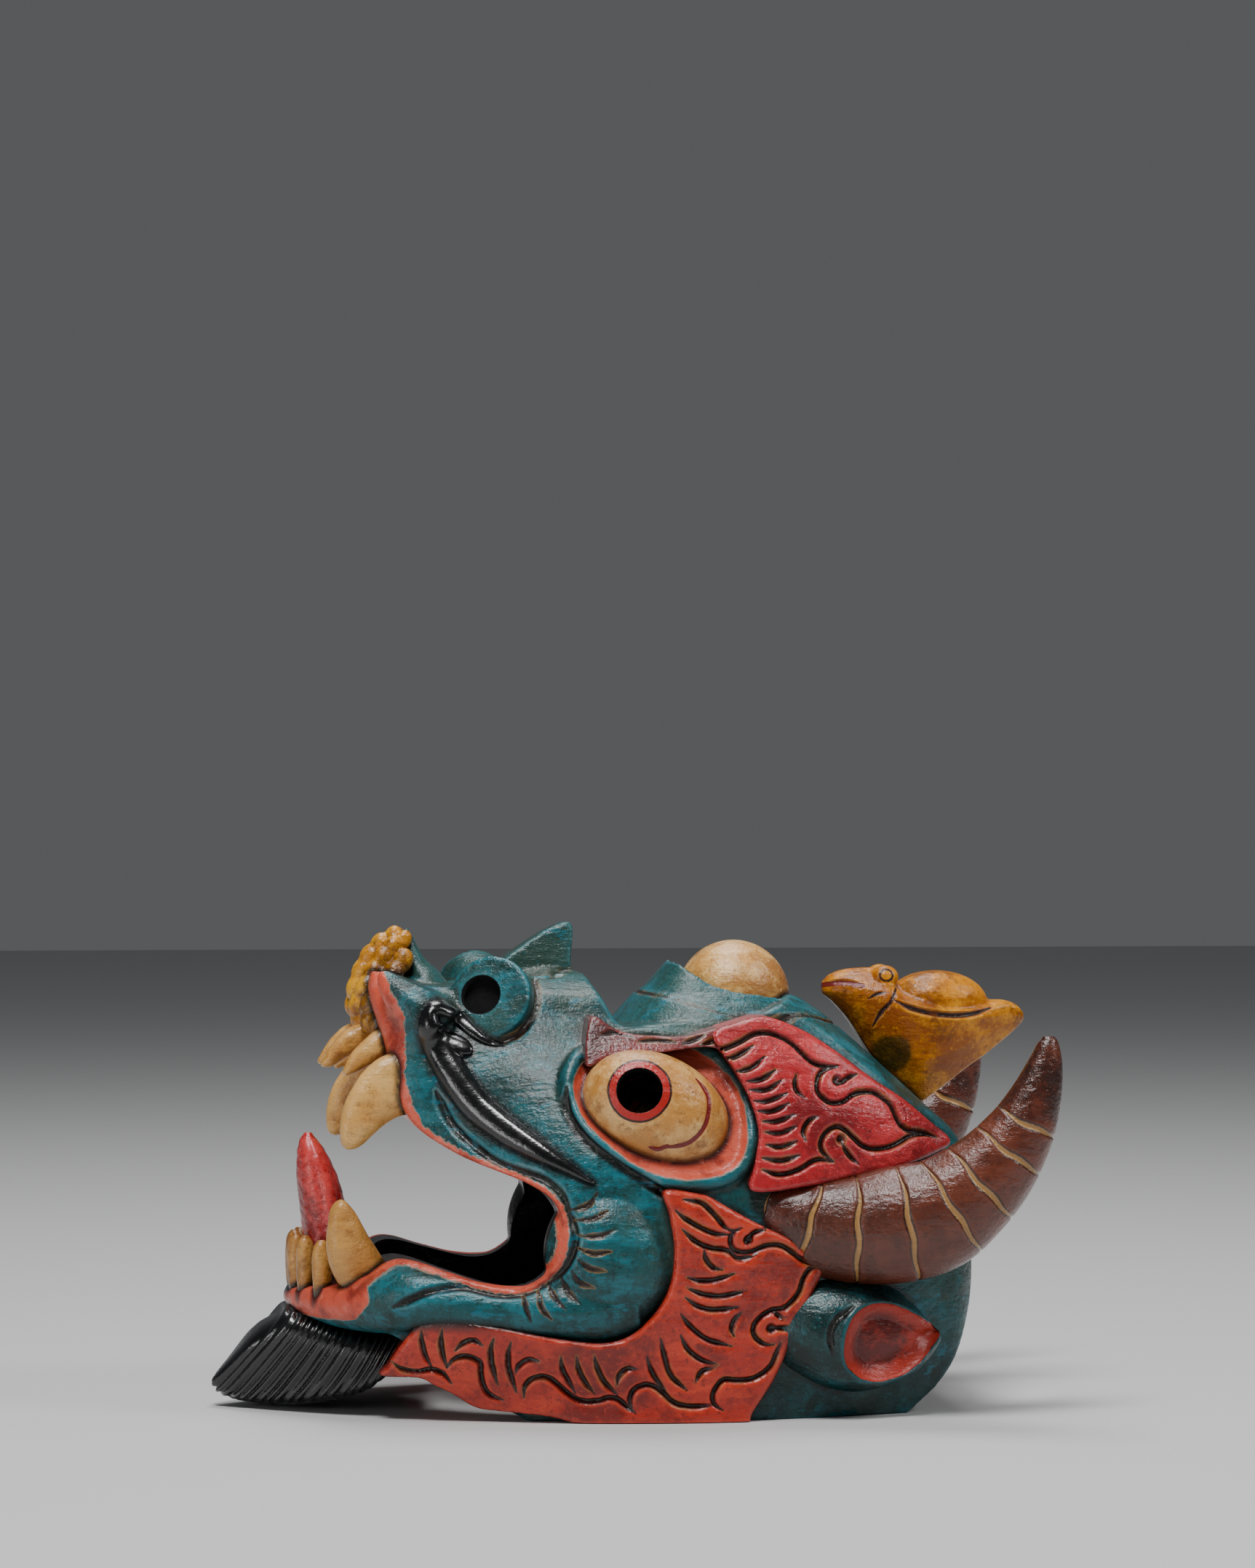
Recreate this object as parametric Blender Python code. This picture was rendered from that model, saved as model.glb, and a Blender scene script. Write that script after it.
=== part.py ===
"""A carved and painted wooden demon mask, lying face up on its open back.

The mask is drawn in millimetres and made in metres, with +Z up. +X runs from the beard to the crown, +Z is
the way the face looks, and the mask is the same on both sides of the plane y = 0. The origin is under the
middle of the whole mask, on the surface that it lies on.
"""

import math

import bmesh
import bpy
import numpy as np
from mathutils import Matrix, Vector

MM = 0.001

# Driving sizes, in millimetres and degrees
MIDDLE_X = -2.35
SHELL_WALL = 11.0
FLAME_LIFT = 7.0
FLAME_SHOULDER = 14.0
BROW_LIFT = 4.9
FRINGE_LIFT = 7.0
MOUSTACHE_LIFT = 3.6
GLUE_GAP = 0.3
PUPIL_RADIUS = 9.3
EYE_LONG = 32.0
EYE_SHORT = 23.0
EYE_DEPTH = 19.0
SOCKET_RIM = 3.6
NOSTRIL_RADIUS = 17.3
NOSTRIL_BORE = 8.2
NOSTRIL_DEPTH = 6.0
NOSTRIL_INWARD = (0.36, -0.88, -0.31)
HORN_ROUND = 0.82
HORN_GROOVE = 1.3
BEARD_GROOVE = 2.4
BEARD_PITCH = 2.3
CARVED_LINE = 2.3
FANG_THICKNESS = 13.0
UPPER_INCISOR_THICKNESS = 9.5
LOWER_INCISOR_ROUND = 0.82
TONGUE_ROUND = 1.1
FROG_WIDTH = 36.0
FROG_EYE = 6.0
VOXEL = 1.5
MASK_FACES = 4700
FROG_FACES = 560

PAINT = {
    "mask": ((0.03, 0.22, 0.26), 0.35),
    "horn": ((0.10, 0.03, 0.03), 0.35),
    "frog": ((0.55, 0.30, 0.03), 0.35),
    "tooth": ((0.62, 0.40, 0.15), 0.4),
    "tongue": ((0.45, 0.02, 0.02), 0.3),
}

# The head's cross-sections: x, height at the middle, then the half width at each share of that height
SHARES = (0.0, 0.22, 0.44, 0.63, 0.77, 0.89)
HEAD = (
    (-146, 188, (5, 6, 6, 4, 4, 4)),
    (-142, 188, (16, 20, 18, 8, 8, 8)),
    (-134, 188, (32, 36, 32, 12, 10, 10)),
    (-125, 188, (41, 47, 43, 20, 16, 14)),
    (-111, 188, (49, 58, 52, 38, 35, 30)),
    (-98, 188, (54, 65, 60, 51, 48, 40)),
    (-84, 186, (58, 71, 67, 57, 52, 42)),
    (-66, 184, (62, 77, 77, 66, 57, 44)),
    (-45, 183, (69, 82, 85, 75, 63, 46)),
    (-20, 182, (75, 84, 88, 81, 66, 46)),
    (10, 182, (78, 84, 87, 81, 67, 44)),
    (40, 180, (77, 81, 83, 77, 63, 42)),
    (70, 172, (72, 76, 78, 75, 63, 42)),
    (100, 148, (63, 68, 70, 69, 61, 43)),
    (122, 128, (54, 58, 60, 59, 52, 38)),
    (134, 118, (46, 50, 53, 51, 45, 35)),
    (143, 110, (31, 34, 37, 35, 31, 24)),
)

# The side profile that the block is sawn to: the rim and jaw, the open mouth, then the top and crown
JAW_LINE = (
    (105, -4), (20, -5), (-34, -5), (-56, 3), (-70, 8), (-84, 16), (-94, 24), (-101, 33), (-112, 36.5),
    (-124, 38.5), (-138, 39.5), (-144, 44), (-143, 49),
)
MOUTH_LINE = (
    (-143, 49), (-134, 52), (-120, 54), (-112, 60), (-104, 65), (-96, 65), (-83, 61), (-70, 57), (-60, 55),
    (-51, 56), (-43, 61), (-38, 69), (-37, 78), (-38, 86), (-42, 92), (-50, 97), (-60, 101), (-70, 105),
    (-79, 109), (-90, 116), (-97, 123), (-101, 133), (-104, 147), (-108, 161), (-111, 173), (-110, 182),
)
TOP_LINE = (
    (-110, 182), (-100, 181), (-88, 177), (-74, 176), (-56, 178), (-38, 180), (-22, 181), (-19, 177),
    (-15, 170), (-10.5, 162), (-6, 159.5), (2, 160), (14, 161), (32, 162), (50, 164), (60, 168), (68, 171),
    (81, 163), (93, 153), (108, 140), (123, 126), (136, 113), (139, 100), (139.5, 58), (137, 38), (131, 21),
    (120, 7),
)

# Raised fields, drawn from the side
FLAME = (
    (27, 157), (38, 162), (50, 164), (64, 159), (77, 151), (89, 142), (96, 137), (107, 130), (118, 121),
    (128, 112), (120, 107), (102, 102), (83, 99), (66, 96), (41, 94), (42, 105), (44, 118), (41, 131),
    (35, 143),
)
BROW_BAND = (
    (-23, 164), (-14, 160), (-7, 157.5), (4, 156.5), (17, 156.5), (33, 160), (40, 156), (34, 150), (24, 152),
    (6, 150), (-6, 149), (-17, 148), (-26, 145),
)
FRINGE = (
    (4, 95), (18, 93.5), (23, 92), (30, 88), (37, 84), (46, 79.3), (55, 75), (62, 70.8), (71, 65),
    (70.5, 61.3), (67, 54), (64, 48.3), (61, 42.8), (59, 38.3), (57, 32.5), (54, 25), (50, 16.8), (46, 10.5),
    (41, 3), (36, -6), (0, -6), (-20, -4), (-40, 2), (-60, 4), (-68, 4.8), (-73, 6.5), (-80, 11),
    (-87, 14.3), (-94, 17.6), (-109, 18), (-106, 23), (-102, 30), (-97, 37), (-93, 41), (-80, 42), (-60, 39),
    (-40, 35), (-20, 33), (-8, 37), (2, 47), (7, 58), (8, 72), (6, 85),
)
# The moustache's band, its hook under the nostril and a lesser hook: x, z and half width
MOUSTACHE = (
    (
        (-88, 166.5, 3.4), (-88, 161, 5.2), (-85.6, 155, 6.6), (-81.8, 146.5, 6.9), (-77, 137.5, 6.9),
        (-69.8, 128, 6.8), (-59, 119, 6.2), (-47, 111.5, 4.8), (-36, 105, 2.9), (-28, 100, 1.4),
        (-24, 97.8, 0.5),
    ),
    (
        (-88.5, 165, 3.4), (-86.6, 167.2, 3.4), (-83, 168, 3.2), (-77.7, 165.3, 3.1), (-72.5, 160.3, 2.8),
        (-67.3, 155.9, 2.1), (-62, 153.5, 1.4), (-57, 153, 0.6),
    ),
    ((-84, 154.6, 4.4), (-80, 153.4, 4.6), (-76, 152.2, 4.3), (-72.8, 151, 3.3), (-70.6, 150.2, 1.6)),
)

# The third eye's lid: each ring's ends along x, its half width, and the height of its edge along x
LID_RINGS = (
    (-12, 98, 58, ((-12, 155), (10, 150), (98, 120))),
    (4.3, 88, 41, ((4.3, 172.8), (14, 171.5), (26, 167.6), (38, 164), (50, 161.5), (88, 148))),
    (7, 85, 38.5, ((7, 173.6), (14, 172), (26, 168.2), (38, 164.6), (50, 162.2), (85, 150))),
    (17.5, 73, 27, ((17.5, 185.4), (19.5, 185.2), (24, 182), (32, 176.5), (41, 173.5), (53, 172), (73, 166))),
    (21, 71, 24.5, ((21, 182.6), (24, 180.4), (32, 174.4), (41, 171.4), (53, 170), (71, 165))),
    (26, 66, 17, ((26, 172), (66, 163))),
)
LID_ROUND = 0.78

# The eye's socket rim, drawn from the side
SOCKET = (
    (-33, 133), (-31, 143), (-24, 150), (-10, 155), (6, 156), (22, 152), (33, 144), (40, 133), (42, 118),
    (39, 106), (30, 99), (15, 97), (1, 99), (-11, 105), (-22, 114), (-29, 122),
)

# The gum's rows of scales: x, z, half width, how far back the row runs, and size
GUM_ROWS = (
    (-101, 196, 5.5, 4.5, 3.3),
    (-106.5, 192.5, 8.5, 8, 3.7),
    (-110.5, 187.5, 10.5, 11.5, 4.0),
    (-113.5, 181.5, 13, 14, 4.2),
    (-115.4, 175, 17, 14, 4.4),
    (-115.6, 168.5, 21, 12, 4.4),
    (-113.5, 162.5, 24, 9, 4.1),
)

# Carved lines, drawn from the side
LIP_LINE = (
    (-86, 134), (-80, 121), (-71, 112), (-60, 104.5), (-46, 100), (-38, 94), (-35, 86), (-32.5, 77),
    (-35, 67), (-41, 59.5), (-53, 54), (-64, 53.5), (-77, 56), (-90, 54), (-97, 51), (-105, 47),
)
EYE_GROOVE = ((-34, 136), (-34, 126), (-27, 115), (-14, 105), (-3, 98), (8, 91))
FRINGE_SEAM = ((5, 90), (9, 72), (8, 58), (2, 46), (-8, 37), (-20, 33), (-40, 35), (-60, 39), (-90, 40))
FLAME_LINES = (
    ((24, 151), (38, 154.5), (50, 158), (60, 153.5), (68, 146), (79, 144.2)),
    ((79, 144), (71, 141.3), (69.5, 134.3), (75, 129.5), (88, 133.5), (97, 131.5), (105, 120), (122, 113.6)),
    ((120, 114.4), (109, 114.8), (93, 110.2), (81, 117.9), (72, 117.2), (72, 108), (60, 102.5), (44.5, 103)),
)
FRINGE_LINES = (
    ((11, 91.7), (19, 90.1), (28, 80.8), (36, 79), (31.5, 72.6), (41, 70), (51, 72.1), (63, 65), (70, 64)),
    (
        (70, 64), (62, 57.8), (58, 49.5), (45, 43.4), (42.5, 33.8), (51, 31), (49, 23), (40, 17.2),
        (26, 14.3), (29, 4.6),
    ),
    ((-105, 24), (-95, 20), (-85, 19.7), (-83, 24), (-73, 26.3), (-68.5, 15), (-60, 8.6)),
    (
        (-52, 10), (-50, 17.3), (-42, 18.2), (-31, 9.6), (-18, 10.3), (-8, 5), (-8, 13.5), (0, 15), (12, 7),
        (25, 7),
    ),
)
WRINKLES = (
    ((-34, 87), (-27, 89), (-23, 94)),
    ((-31, 77), (-23, 77), (-16, 80)),
    ((-32, 68), (-27, 64), (-20, 63)),
    ((-38, 60), (-35, 54), (-30, 49)),
    ((-47, 55), (-46, 48), (-42, 43)),
)
EAR_LINE = ((82, 47), (75, 42), (72, 36), (73, 27))
SNOUT_LINE = ((-25, 182.5), (-42, 180), (-42.5, 173), (-44.2, 165.5), (-50, 158), (-58, 154.3), (-64, 153.8))
BEARD_FAN = (-20, 194)

# Each tooth's front and back edge, drawn from the side
LOWER_FANG = (
    (
        (-114, 47), (-121, 50.5), (-126, 56), (-129.5, 64), (-130.4, 73), (-129, 84), (-126.5, 88.2),
        (-124.6, 89.2),
    ),
    (
        (-102, 56), (-104.5, 63), (-109, 69.5), (-113.5, 76), (-118.6, 84), (-122, 87.8), (-123.4, 88.8),
        (-124.2, 89.2),
    ),
)
UPPER_FANG = (
    (
        (-94, 150), (-104.9, 148.5), (-112.4, 143.7), (-118.6, 136.3), (-123, 127.6), (-124.8, 118.9),
        (-124.2, 111.8), (-121.8, 109.4),
    ),
    (
        (-91, 124), (-96.4, 123.1), (-100.5, 122.3), (-106.1, 119.4), (-112.4, 113.8), (-117.4, 110.3),
        (-119.6, 109.5), (-121.2, 109.3),
    ),
)
UPPER_INCISORS = (
    (
        ((-108, 162), (-118, 158.3), (-121.8, 155.8), (-126.2, 150.8), (-130, 144.5), (-130.6, 142.6)),
        ((-104, 155), (-112, 150.5), (-116, 148), (-119.9, 145.7), (-126.2, 142), (-129.8, 141.8)),
    ),
    (
        ((-99, 161), (-108.4, 157.7), (-113.4, 154), (-118.5, 149), (-122, 142.5), (-122.3, 140)),
        ((-97, 150), (-104.6, 147.6), (-109.6, 143.9), (-115.9, 140.8), (-120, 139.2), (-121.6, 139)),
    ),
)
UPPER_INCISOR_Y = (11.0, 28.0)
LOWER_INCISORS = ((-140.5, 7, 50, 82), (-137.5, 20.5, 50, 66), (-131.5, 34.5, 49, 48))
LOWER_INCISOR_RINGS = ((-4, 3.2), (3, 4.2), (10, 4.8), (16, 4.5), (20, 3.5), (22.4, 1.6))
TOOTH_CUTS = (0.0, 0.22, 0.42, 0.6, 0.76, 0.9, 1.0)

# The horn's middle line, with its half height at each point
HORN = (
    (33, 75, 94, 3), (41, 74, 90, 8), (52, 73.5, 85, 14), (65, 74, 80, 19.5), (82, 77, 77.5, 22),
    (100, 80, 79, 24), (116, 83, 83, 23.5), (129, 85, 91.5, 21), (141, 86.5, 103, 18),
    (151, 87.5, 117, 14.5), (157.5, 88, 131, 11), (161.5, 88, 144, 7.6), (163, 88, 153, 4.6),
    (163, 88, 156.5, 2.3),
)
HORN_RINGS = (0.17, 0.33, 0.42, 0.51, 0.60, 0.69, 0.77, 0.85)


def line_through(points, per_span, closed=False):
    """A smooth curve through the points, as a Catmull-Rom spline."""
    p = np.array(points, float)
    if closed:
        p = np.vstack([p[-1], p, p[0], p[1]])
    else:
        p = np.vstack([2 * p[0] - p[1], p, 2 * p[-1] - p[-2]])
    out = []
    for a, b, c, d in zip(p, p[1:], p[2:], p[3:]):
        for i in range(per_span):
            t = i / per_span
            cubic = (3 * b - a - 3 * c + d) * t**3
            out.append(0.5 * (2 * b + (c - a) * t + (2 * a - 5 * b + 4 * c - d) * t**2 + cubic))
    if not closed:
        out.append(p[-2])
    return np.array(out)


def mesh_object(name, bm):
    """A closed bmesh drawn in millimetres, as an object in metres."""
    bmesh.ops.recalc_face_normals(bm, faces=bm.faces)
    to_metres = Matrix.Scale(MM, 4) @ Matrix.Translation((-MIDDLE_X, 0, 0))
    bmesh.ops.transform(bm, verts=bm.verts, matrix=to_metres)
    mesh = bpy.data.meshes.new(name)
    bm.to_mesh(mesh)
    bm.free()
    obj = bpy.data.objects.new(name, mesh)
    bpy.context.scene.collection.objects.link(obj)
    return obj


def bake(obj):
    """Replaces the object's mesh by what its modifiers make."""
    bpy.context.view_layer.update()
    mesh = bpy.data.meshes.new_from_object(obj.evaluated_get(bpy.context.evaluated_depsgraph_get()))
    old = obj.data
    obj.modifiers.clear()
    obj.data = mesh
    bpy.data.meshes.remove(old)
    return obj


def combine(obj, other, operation):
    """Joins, cuts or keeps the common part of two closed meshes, and removes the second."""
    step = obj.modifiers.new(operation.lower(), "BOOLEAN")
    step.operation = operation
    step.object = other
    bake(obj)
    bpy.data.objects.remove(other)
    return obj


def loft(name, rings):
    """A closed skin over rings that have the same number of points."""
    bm = bmesh.new()
    loops = []
    for ring in rings:
        verts = [bm.verts.new(point) for point in ring]
        loops.append([bm.edges.new(pair) for pair in zip(verts, verts[1:] + verts[:1])])
        if len(loops) > 1:
            bmesh.ops.bridge_loops(bm, edges=loops[-2] + loops[-1])
    bmesh.ops.holes_fill(bm, edges=loops[0] + loops[-1], sides=0)
    return mesh_object(name, bm)


def prism(name, outline, axis, low, high):
    """An outline drawn in the two other axes, extruded along axis from low to high."""
    bm = bmesh.new()
    place = {"y": lambda a, b: (a, low, b), "z": lambda a, b: (a, b, low)}[axis]
    face = bm.faces.new([bm.verts.new(place(a, b)) for a, b in outline])
    grown = bmesh.ops.extrude_face_region(bm, geom=[face])
    along = Vector((0, high - low, 0)) if axis == "y" else Vector((0, 0, high - low))
    bmesh.ops.translate(bm, verts=[v for v in grown["geom"] if isinstance(v, bmesh.types.BMVert)], vec=along)
    return mesh_object(name, bm)


def ball(name, centre, radii, tilt=0.0, swing=0.0):
    """An ellipsoid, tilted about Y and then swung about Z, in degrees."""
    bm = bmesh.new()
    turn = Matrix.Rotation(math.radians(swing), 4, "Z") @ Matrix.Rotation(math.radians(tilt), 4, "Y")
    matrix = Matrix.Translation(centre) @ turn @ Matrix.Diagonal((*radii, 1))
    bmesh.ops.create_icosphere(bm, subdivisions=4, radius=1, matrix=matrix)
    return mesh_object(name, bm)


def drum(name, start, end, radius, end_radius=None):
    """A round bar from start to end."""
    start, end = Vector(start), Vector(end)
    turn = (end - start).to_track_quat("Z", "Y").to_matrix().to_4x4()
    bm = bmesh.new()
    bmesh.ops.create_cone(
        bm,
        cap_ends=True,
        segments=40,
        radius1=radius,
        radius2=end_radius or radius,
        depth=(end - start).length,
        matrix=Matrix.Translation((start + end) / 2) @ turn,
    )
    return mesh_object(name, bm)


def sweep(name, path, across, sides=20, per_span=3):
    """A tapering bar along a path of x, y, z and half height, with its half thickness as a share of that."""
    points = line_through(path, per_span)
    rings = []
    for i, (x, y, z, radius) in enumerate(points):
        ahead = points[min(i + 1, len(points) - 1)][:3] - points[max(i - 1, 0)][:3]
        ahead = Vector(ahead).normalized()
        up = ahead.cross(Vector((0, 1, 0))).normalized()
        out = up.cross(ahead).normalized()
        ring = []
        for k in range(sides):
            t = 2 * math.pi * k / sides
            ring.append(Vector((x, y, z)) + (up * math.cos(t) + out * across * math.sin(t)) * radius)
        rings.append(ring)
    return loft(name, rings)


def half_width(x, z):
    """How far the head's wall is from the middle at that place."""
    stations = [s[0] for s in HEAD]
    top = np.interp(x, stations, [s[1] for s in HEAD])
    widths = [np.interp(x, stations, [s[2][k] for s in HEAD]) for k in range(len(SHARES))]
    share = z / top
    if share < SHARES[-1]:
        return float(np.interp(share, SHARES, widths))
    left = max(0.0, 1 - ((share - SHARES[-1]) / (1 - SHARES[-1])) ** 2)
    return float(widths[-1] * math.sqrt(left))


def head_body(name, grow, shoulder=0.0):
    """The head's solid form, with every wall moved out by grow and its crown widened by shoulder."""
    stations = line_through([(x, top, *widths) for x, top, widths in HEAD], 4)
    stations[0][0] -= max(grow, 0)
    stations[-1][0] += max(grow, 0)
    rings = []
    for station in stations:
        x, top, widths = station[0], station[1], station[2:].copy()
        widths[-2] += shoulder * 0.35
        widths[-1] += shoulder
        flank = [(w, s) for w, s in zip(widths, SHARES)]
        for a in (0.5, 0.95, 1.3):
            flank.append((widths[-1] * math.cos(a), SHARES[-1] + (1 - SHARES[-1]) * math.sin(a)))
        half = line_through([(w + grow, s * top + grow * s) for w, s in flank] + [(0, top + grow)], 2)
        half[0][1] = -20.0
        ring = [(x, y, z) for y, z in half] + [(x, -y, z) for y, z in half[-2::-1]]
        rings.append(ring)
    return loft(name, rings)


def raised_field(name, outline, side, lift, shoulder=0.0, inner=20.0):
    """A field of the wall inside the outline, raised by lift."""
    field = prism(name, line_through(outline, 3, closed=True), "y", side * inner, side * 140)
    return combine(field, head_body("grown", lift, shoulder), "INTERSECT")


def band_outline(band):
    """The outline of a band that is drawn by its middle line and half widths."""
    points = line_through(band, 3)
    ahead = np.gradient(points[:, :2], axis=0)
    ahead /= np.linalg.norm(ahead, axis=1)[:, None]
    across = np.column_stack([-ahead[:, 1], ahead[:, 0]]) * points[:, 2:]
    return np.vstack([points[:, :2] + across, (points[:, :2] - across)[::-1]])


def rim_path(outline, side, proud):
    """The outline laid on the head's wall, standing proud of it."""
    path = []
    for x, z in line_through(outline, 2, closed=True):
        path.append((x, side * (half_width(x, z) + proud), z))
    return path


def ring_bar(name, path, radius, sides=10):
    """A round bar along a closed path."""
    bm = bmesh.new()
    loops = []
    count = len(path)
    for i, point in enumerate(path):
        ahead = (Vector(path[(i + 1) % count]) - Vector(path[i - 1])).normalized()
        up = ahead.cross(Vector((0, 1, 0))).normalized()
        out = up.cross(ahead)
        turns = [2 * math.pi * k / sides for k in range(sides)]
        verts = [bm.verts.new(Vector(point) + (up * math.cos(t) + out * math.sin(t)) * radius) for t in turns]
        loops.append([bm.edges.new(pair) for pair in zip(verts, verts[1:] + verts[:1])])
    for a, b in zip(loops, loops[1:] + loops[:1]):
        bmesh.ops.bridge_loops(bm, edges=a + b)
    return mesh_object(name, bm)


def make_core():
    """The head and jaw in one block: the round body, sawn to the side profile."""
    profile = np.vstack([line_through(part, 2)[:-1] for part in (JAW_LINE, MOUTH_LINE, TOP_LINE)])
    return [combine(head_body("core", 0.0), prism("saw", profile, "y", -150, 150), "INTERSECT")]


def make_snout():
    """The lip's middle crest, the gum, the nose fin and the bridge, all on the middle plane."""
    crest_path = (
        (-78, 0, 158, 11), (-82.5, 0, 168, 10), (-86.6, 0, 177.5, 7.7), (-89.6, 0, 183.5, 5.0),
        (-91.5, 0, 189, 3.5), (-93.1, 0, 195, 2.3), (-94.1, 0, 199.4, 1.0),
    )
    fin_side = (
        (-56, 184), (-53, 187), (-44.2, 193.3), (-36.5, 198.4), (-28.8, 201.7), (-24.9, 202), (-23.6, 199.6),
        (-24.3, 190.7), (-25.2, 181), (-34, 176), (-50, 172),
    )
    fin = prism("fin", fin_side, "y", -8, 8)
    upper_gum = ball("upper_gum", (-103, 0, 182.5), (8.5, 10.5, 15), tilt=20)
    lower_gum = ball("lower_gum", (-103, 0, 167.5), (13, 23, 11))
    bridge = ball("bridge", (-36, 0, 160), (24, 42, 23))
    return [sweep("crest", crest_path, 1.6), fin, upper_gum, lower_gum, bridge, *make_gum_scales()]


def make_gum_scales():
    """The rows of scales that cover the gum, each row bent back round it."""
    scales = []
    for row, (x, z, half, back, size) in enumerate(GUM_ROWS):
        count = max(3, round(math.pi * (half + back) / 2 * 1.1 / (1.75 * size)))
        for k in range(count):
            turn = math.radians(105) * (2 * (k + 0.5 * (row % 2)) / (count - 0.5) - 1)
            place = (x + back * (1 - math.cos(turn)), half * math.sin(turn), z - 1.5 * (1 - math.cos(turn)))
            scales.append(ball("scale", place, (size * 0.9, size * 0.95, size * 1.15), tilt=25))
    return scales


def make_lips(side):
    """The flaring lobe at each end of the upper lip, and the jaw's rounded lower lip."""
    lobe_path = (
        (-84, side * 44, 158, 12), (-92, side * 43, 166, 11), (-100, side * 41, 173, 8),
        (-106, side * 39, 179, 5), (-109, side * 38, 182, 2),
    )
    jaw_path = (
        (-8, side * 78, 50, 15), (-22, side * 79, 47, 14.5), (-42, side * 79, 45.5, 11.5),
        (-60, side * 75.5, 45.5, 10.5), (-80, side * 70, 47.5, 11.5), (-98, side * 62, 49.5, 13.5),
        (-110, side * 53, 47, 12.5), (-122, side * 42, 45, 9.5), (-132, side * 28, 45, 7.5),
        (-138, side * 12, 45.5, 6.5), (-139, 0, 46, 6.5),
    )
    return [sweep("lobe", lobe_path, 0.8), sweep("jaw", jaw_path, 0.9)]


def make_nostril(side):
    """A fat drum with a flat, tilted face."""
    face = Vector((-63, side * 45, 172.5))
    inward = Vector(NOSTRIL_INWARD) * Vector((1, side, 1))
    return [drum("nostril", face, face + inward * 32, NOSTRIL_RADIUS)]


def make_eye(side):
    """The eyeball in its rim. The pupil is bored later."""
    eyeball = ball("eyeball", (3, side * 72, 126), (EYE_LONG, EYE_DEPTH, EYE_SHORT), tilt=28)
    rim = ring_bar("rim", rim_path(SOCKET, side, 1.0), SOCKET_RIM)
    return [eyeball, rim]


def make_third_eye():
    """The raised lid on the forehead, highest in front, and the dome in it."""
    rings = []
    for low, high, half, edge in LID_RINGS:
        xs, zs = zip(*edge)
        ring = []
        for k in range(40):
            t = 2 * math.pi * k / 40
            x = (low + high) / 2 - (high - low) / 2 * math.cos(t)
            y = math.copysign(half * abs(math.sin(t)) ** LID_ROUND, math.sin(t))
            ring.append((x, y, float(np.interp(x, xs, zs))))
        rings.append(ring)
    return [loft("lid", rings), ball("dome", (45, 0, 170), (24, 21, 24), tilt=14)]


def make_cheek(side):
    """The swelling cheek behind the mouth's corner, and the bar that runs up from it under the eye."""
    bar_path = (
        (-12, side * 74, 74, 18), (-24, side * 76, 92, 14), (-38, side * 72, 106, 11),
        (-54, side * 64, 116, 9), (-72, side * 54, 122, 7),
    )
    return [ball("cheek", (-16, side * 75, 66), (27.5, 20, 32), tilt=-12), sweep("cheek_bar", bar_path, 0.7)]


def make_ear(side):
    """A leaf-shaped ear that lies back along the head, hollowed to its pointed tip."""
    path = (
        (52, side * 68, 38, 12), (60, side * 70, 37, 18), (71, side * 71, 36, 22),
        (84, side * 71, 33.5, 23.5), (96, side * 70, 32.5, 21.5), (105, side * 69, 31.5, 17.5),
        (113, side * 68, 31.5, 12), (119, side * 68, 32.3, 5), (121.5, side * 68, 33, 1.6),
    )
    gouge = (
        (78, side * 91, 30, 3), (84, side * 92, 31, 13), (90, side * 92, 31.6, 16), (98, side * 90, 31.5, 16),
        (107, side * 86, 31.5, 12.5), (114, side * 80, 32.2, 7.6), (121, side * 74, 34.5, 1),
    )
    return [combine(sweep("ear", path, 0.92), sweep("gouge", gouge, 0.62), "DIFFERENCE")]


def make_beard():
    """The beard sweeps back from under the lip to a point, and touches the ground."""
    stations = (
        (-88, 48, 26, 37), (-97, 53, 20, 38), (-104, 54, 14.5, 38), (-112, 53, 8, 38.5), (-122, 48, 4, 40),
        (-134, 40, 1.5, 42), (-144, 32, 0.6, 42.5), (-152, 25, 1, 36.5), (-161, 16.5, 1.6, 29),
        (-168, 10, 3, 20.5), (-173, 5, 5, 15), (-175.5, 2, 7.5, 11),
    )
    rings = []
    for x, half, low, high in line_through(stations, 2):
        middle, tall = (low + high) / 2, (high - low) / 2
        ring = []
        for k in range(28):
            t = 2 * math.pi * k / 28
            across = math.copysign(abs(math.cos(t)) ** 0.6, math.cos(t))
            up = math.copysign(abs(math.sin(t)) ** 0.75, math.sin(t))
            ring.append((x, half * across, middle + tall * up))
        rings.append(ring)
    return [loft("beard", rings)]


def join(name, objects):
    """The objects' meshes as one object, still overlapping."""
    bm = bmesh.new()
    for obj in objects:
        bm.from_mesh(obj.data)
        bpy.data.objects.remove(obj)
    mesh = bpy.data.meshes.new(name)
    bm.to_mesh(mesh)
    bm.free()
    made = bpy.data.objects.new(name, mesh)
    bpy.context.scene.collection.objects.link(made)
    return made


def as_one_block(obj, voxel, smoothing):
    """Fuses what overlaps into one closed skin and eases its edges, as a rasp does."""
    fuse = obj.modifiers.new("fuse", "REMESH")
    fuse.mode = "VOXEL"
    fuse.voxel_size = voxel * MM
    ease = obj.modifiers.new("ease", "SMOOTH")
    ease.factor = 0.5
    ease.iterations = smoothing
    return bake(obj)


def thin_out(obj, faces):
    """Fewer faces, kept where the form bends."""
    now = sum(len(p.vertices) - 2 for p in obj.data.polygons)
    step = obj.modifiers.new("thin", "DECIMATE")
    step.ratio = min(1.0, faces / now)
    return bake(obj)


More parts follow.
